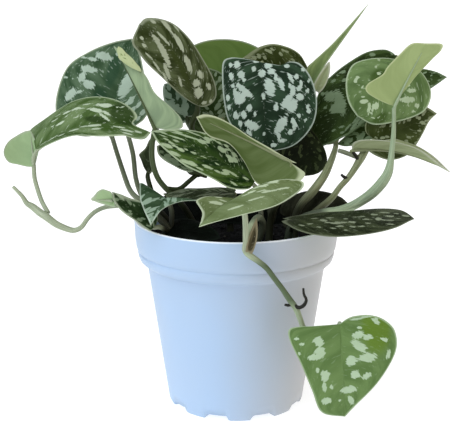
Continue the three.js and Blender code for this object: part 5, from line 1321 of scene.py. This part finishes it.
@dataclass
class PottingMix:
    """The potting mix: a crumbly surface of lumps and grains (width, height) with loose bark on it."""

    top: float = 87.0
    radius: float = 50.0
    rings: int = 46
    sides: int = 150
    crumbs: int = 420
    crumbs_within: float = 48.5
    crumb_lift: float = 0.15
    dish: float = 1.2
    lump: tuple[float, float] = (7, 1.1)
    grain: tuple[float, float] = (1.6, 0.7)
    wall: Outline = field(default_factory=lambda: [(49.6, 82.5), (44.0, 74.0), (34.8, 8.0), (33.5, 4.5)])

    def height(self, x: float, y: float) -> float:
        """Return the height of the surface at a place."""
        height = self.top - self.dish * (x * x + y * y) / self.radius ** 2
        for (width, rise), layer in ((self.lump, 0.3), (self.grain, 4.2)):
            height += rise * noise.noise(Vector((x / width, y / width, layer)))
        return height

    def build(self) -> list[bpy.types.Object]:
        """Build and dress the mix and its loose crumbs.

        Returns:
            Both pieces.
        """
        points, faces = [(0.0, 0.0, self.height(0, 0))], []
        for i in range(1, self.rings + 1):
            r = self.radius * i / self.rings
            for k in range(self.sides):
                a = 2 * math.pi * k / self.sides
                x, y = r * math.cos(a), r * math.sin(a)
                points.append((x, y, self.height(x, y)))
        for r, z in self.wall:
            for k in range(self.sides):
                a = 2 * math.pi * k / self.sides
                points.append((r * math.cos(a), r * math.sin(a), z))
        rows = self.rings + len(self.wall)
        for k in range(self.sides):
            j = (k + 1) % self.sides
            faces.append((0, 1 + k, 1 + j))
            for i in range(rows - 1):
                a, b = 1 + i * self.sides, 1 + (i + 1) * self.sides
                faces.append((a + k, b + k, b + j, a + j))
        faces.append(tuple(1 + (rows - 1) * self.sides + k for k in range(self.sides - 1, -1, -1)))
        bed = mesh_piece("potting_mix", np.array(points), faces, None, {"tint": np.zeros(len(points))})
        loose = self.loose_crumbs()
        material = PeatMix().material()
        for piece in (bed, loose):
            piece.data.materials.append(material)
            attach(piece, "root")
            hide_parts("soil")
            LOG.info("soil: %s", piece.name)
        return [bed, loose]

    def loose_crumbs(self) -> bpy.types.Object:
        """Scatter bark slivers and peat lumps over the surface by a seeded draw.

        Returns:
            One mesh of all the crumbs.
        """
        draw = np.random.default_rng(CRUMB_SEED)
        corners = np.array([(1, 0, 0), (-1, 0, 0), (0, 1, 0), (0, -1, 0), (0, 0, 1), (0, 0, -1)], float)
        sides = [(0, 2, 4), (2, 1, 4), (1, 3, 4), (3, 0, 4), (2, 0, 5), (1, 2, 5), (3, 1, 5), (0, 3, 5)]
        points, faces, tint = [], [], []
        for i in range(self.crumbs):
            r = self.crumbs_within * math.sqrt(draw.random())
            a = draw.uniform(0, 2 * math.pi)
            x, y = r * math.cos(a), r * math.sin(a)
            size = draw.uniform(0.5, 1.5) * np.array([1.0, draw.uniform(0.4, 1.0), draw.uniform(0.3, 0.7)])
            turn = draw.uniform(0, math.pi)
            lump = corners * size * draw.uniform(0.7, 1.3, (6, 1))
            c, s = math.cos(turn), math.sin(turn)
            lump = lump @ np.array([(c, s, 0), (-s, c, 0), (0, 0, 1)])
            points.append(lump + (x, y, self.height(x, y) + self.crumb_lift))
            faces += [tuple(6 * i + q for q in side) for side in sides]
            tint += [draw.choice([0.0, 0.15, 0.4, 1.0], p=[0.55, 0.25, 0.15, 0.05])] * 6
        return mesh_piece("loose_bark", np.vstack(points), faces, None, {"tint": np.array(tint)})


# -------------------------------------------------------------------------------------------------------
# studio
# -------------------------------------------------------------------------------------------------------
@dataclass
class Studio:
    """A pale paper floor, soft lights and the camera."""

    camera_place: Point = (-5.0, -600.0, 246.0)
    pitch: float = 13.6
    lens: float = 95.2
    sky: float = 0.4

    def build(self) -> None:
        """Set up the floor, the lights, the sky and the camera."""
        corners = ((-6000, -3000), (6000, -3000), (6000, 9000), (-6000, 9000))
        floor = mesh_piece("paper_floor", np.array([(x, y, -0.02) for x, y in corners]), [(0, 1, 2, 3)])
        floor.data.materials.append(MattPaper().material())
        world = bpy.data.worlds.new("soft_sky")
        bpy.context.scene.world = world
        world.use_nodes = True
        sky = world.node_tree.nodes["Background"]
        sky.inputs[0].default_value = linear("#ffffff")
        sky.inputs[1].default_value = self.sky
        self.lamp("window_left", (-0.75, -0.6, 1.0), 70, 2.35, "#f2f8ff")
        self.lamp("lamp_right", (1.0, -0.5, 0.35), 50, 0.5, "#ffd9b0")
        camera = bpy.data.objects.new("camera", bpy.data.cameras.new("camera"))
        camera.data.lens = self.lens
        camera.data.sensor_width = 36
        camera.data.sensor_fit = "HORIZONTAL"
        camera.location = Vector(self.camera_place) * MM
        camera.rotation_euler = (math.radians(90 - self.pitch), 0, 0)
        bpy.context.scene.collection.objects.link(camera)
        bpy.context.scene.camera = camera
        bpy.context.scene.view_settings.view_transform = "Standard"
        bpy.context.scene.view_settings.look = "None"

    def lamp(self, name: str, side: Point, spread: float, power: float, colour: str) -> None:
        """Light the set evenly from one side, as softly as a big window does.

        Args:
            name: The lamp's name.
            side: The direction it stands in.
            spread: How wide it looks from the plant, in degrees.
            power: Its power for each square metre.
            colour: Its colour.
        """
        data = bpy.data.lights.new(name, "SUN")
        data.energy = power
        data.angle = math.radians(spread)
        data.color = linear(colour)[:3]
        lamp = bpy.data.objects.new(name, data)
        lamp.location = side
        lamp.rotation_euler = Vector(side).to_track_quat("Z", "Y").to_euler()
        bpy.context.scene.collection.objects.link(lamp)


def main() -> None:
    """Build every piece over the frame."""
    logging.basicConfig(level=logging.INFO, format="%(message)s")
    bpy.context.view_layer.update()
    Studio().build()
    NurseryPot().build()
    PottingMix().build()
    for i, stem in enumerate(plant()):
        stem.build(STEM_SEED + STEM_SEED_STEP * i)
    bpy.context.view_layer.update()


if __name__ == "__main__":
    main()
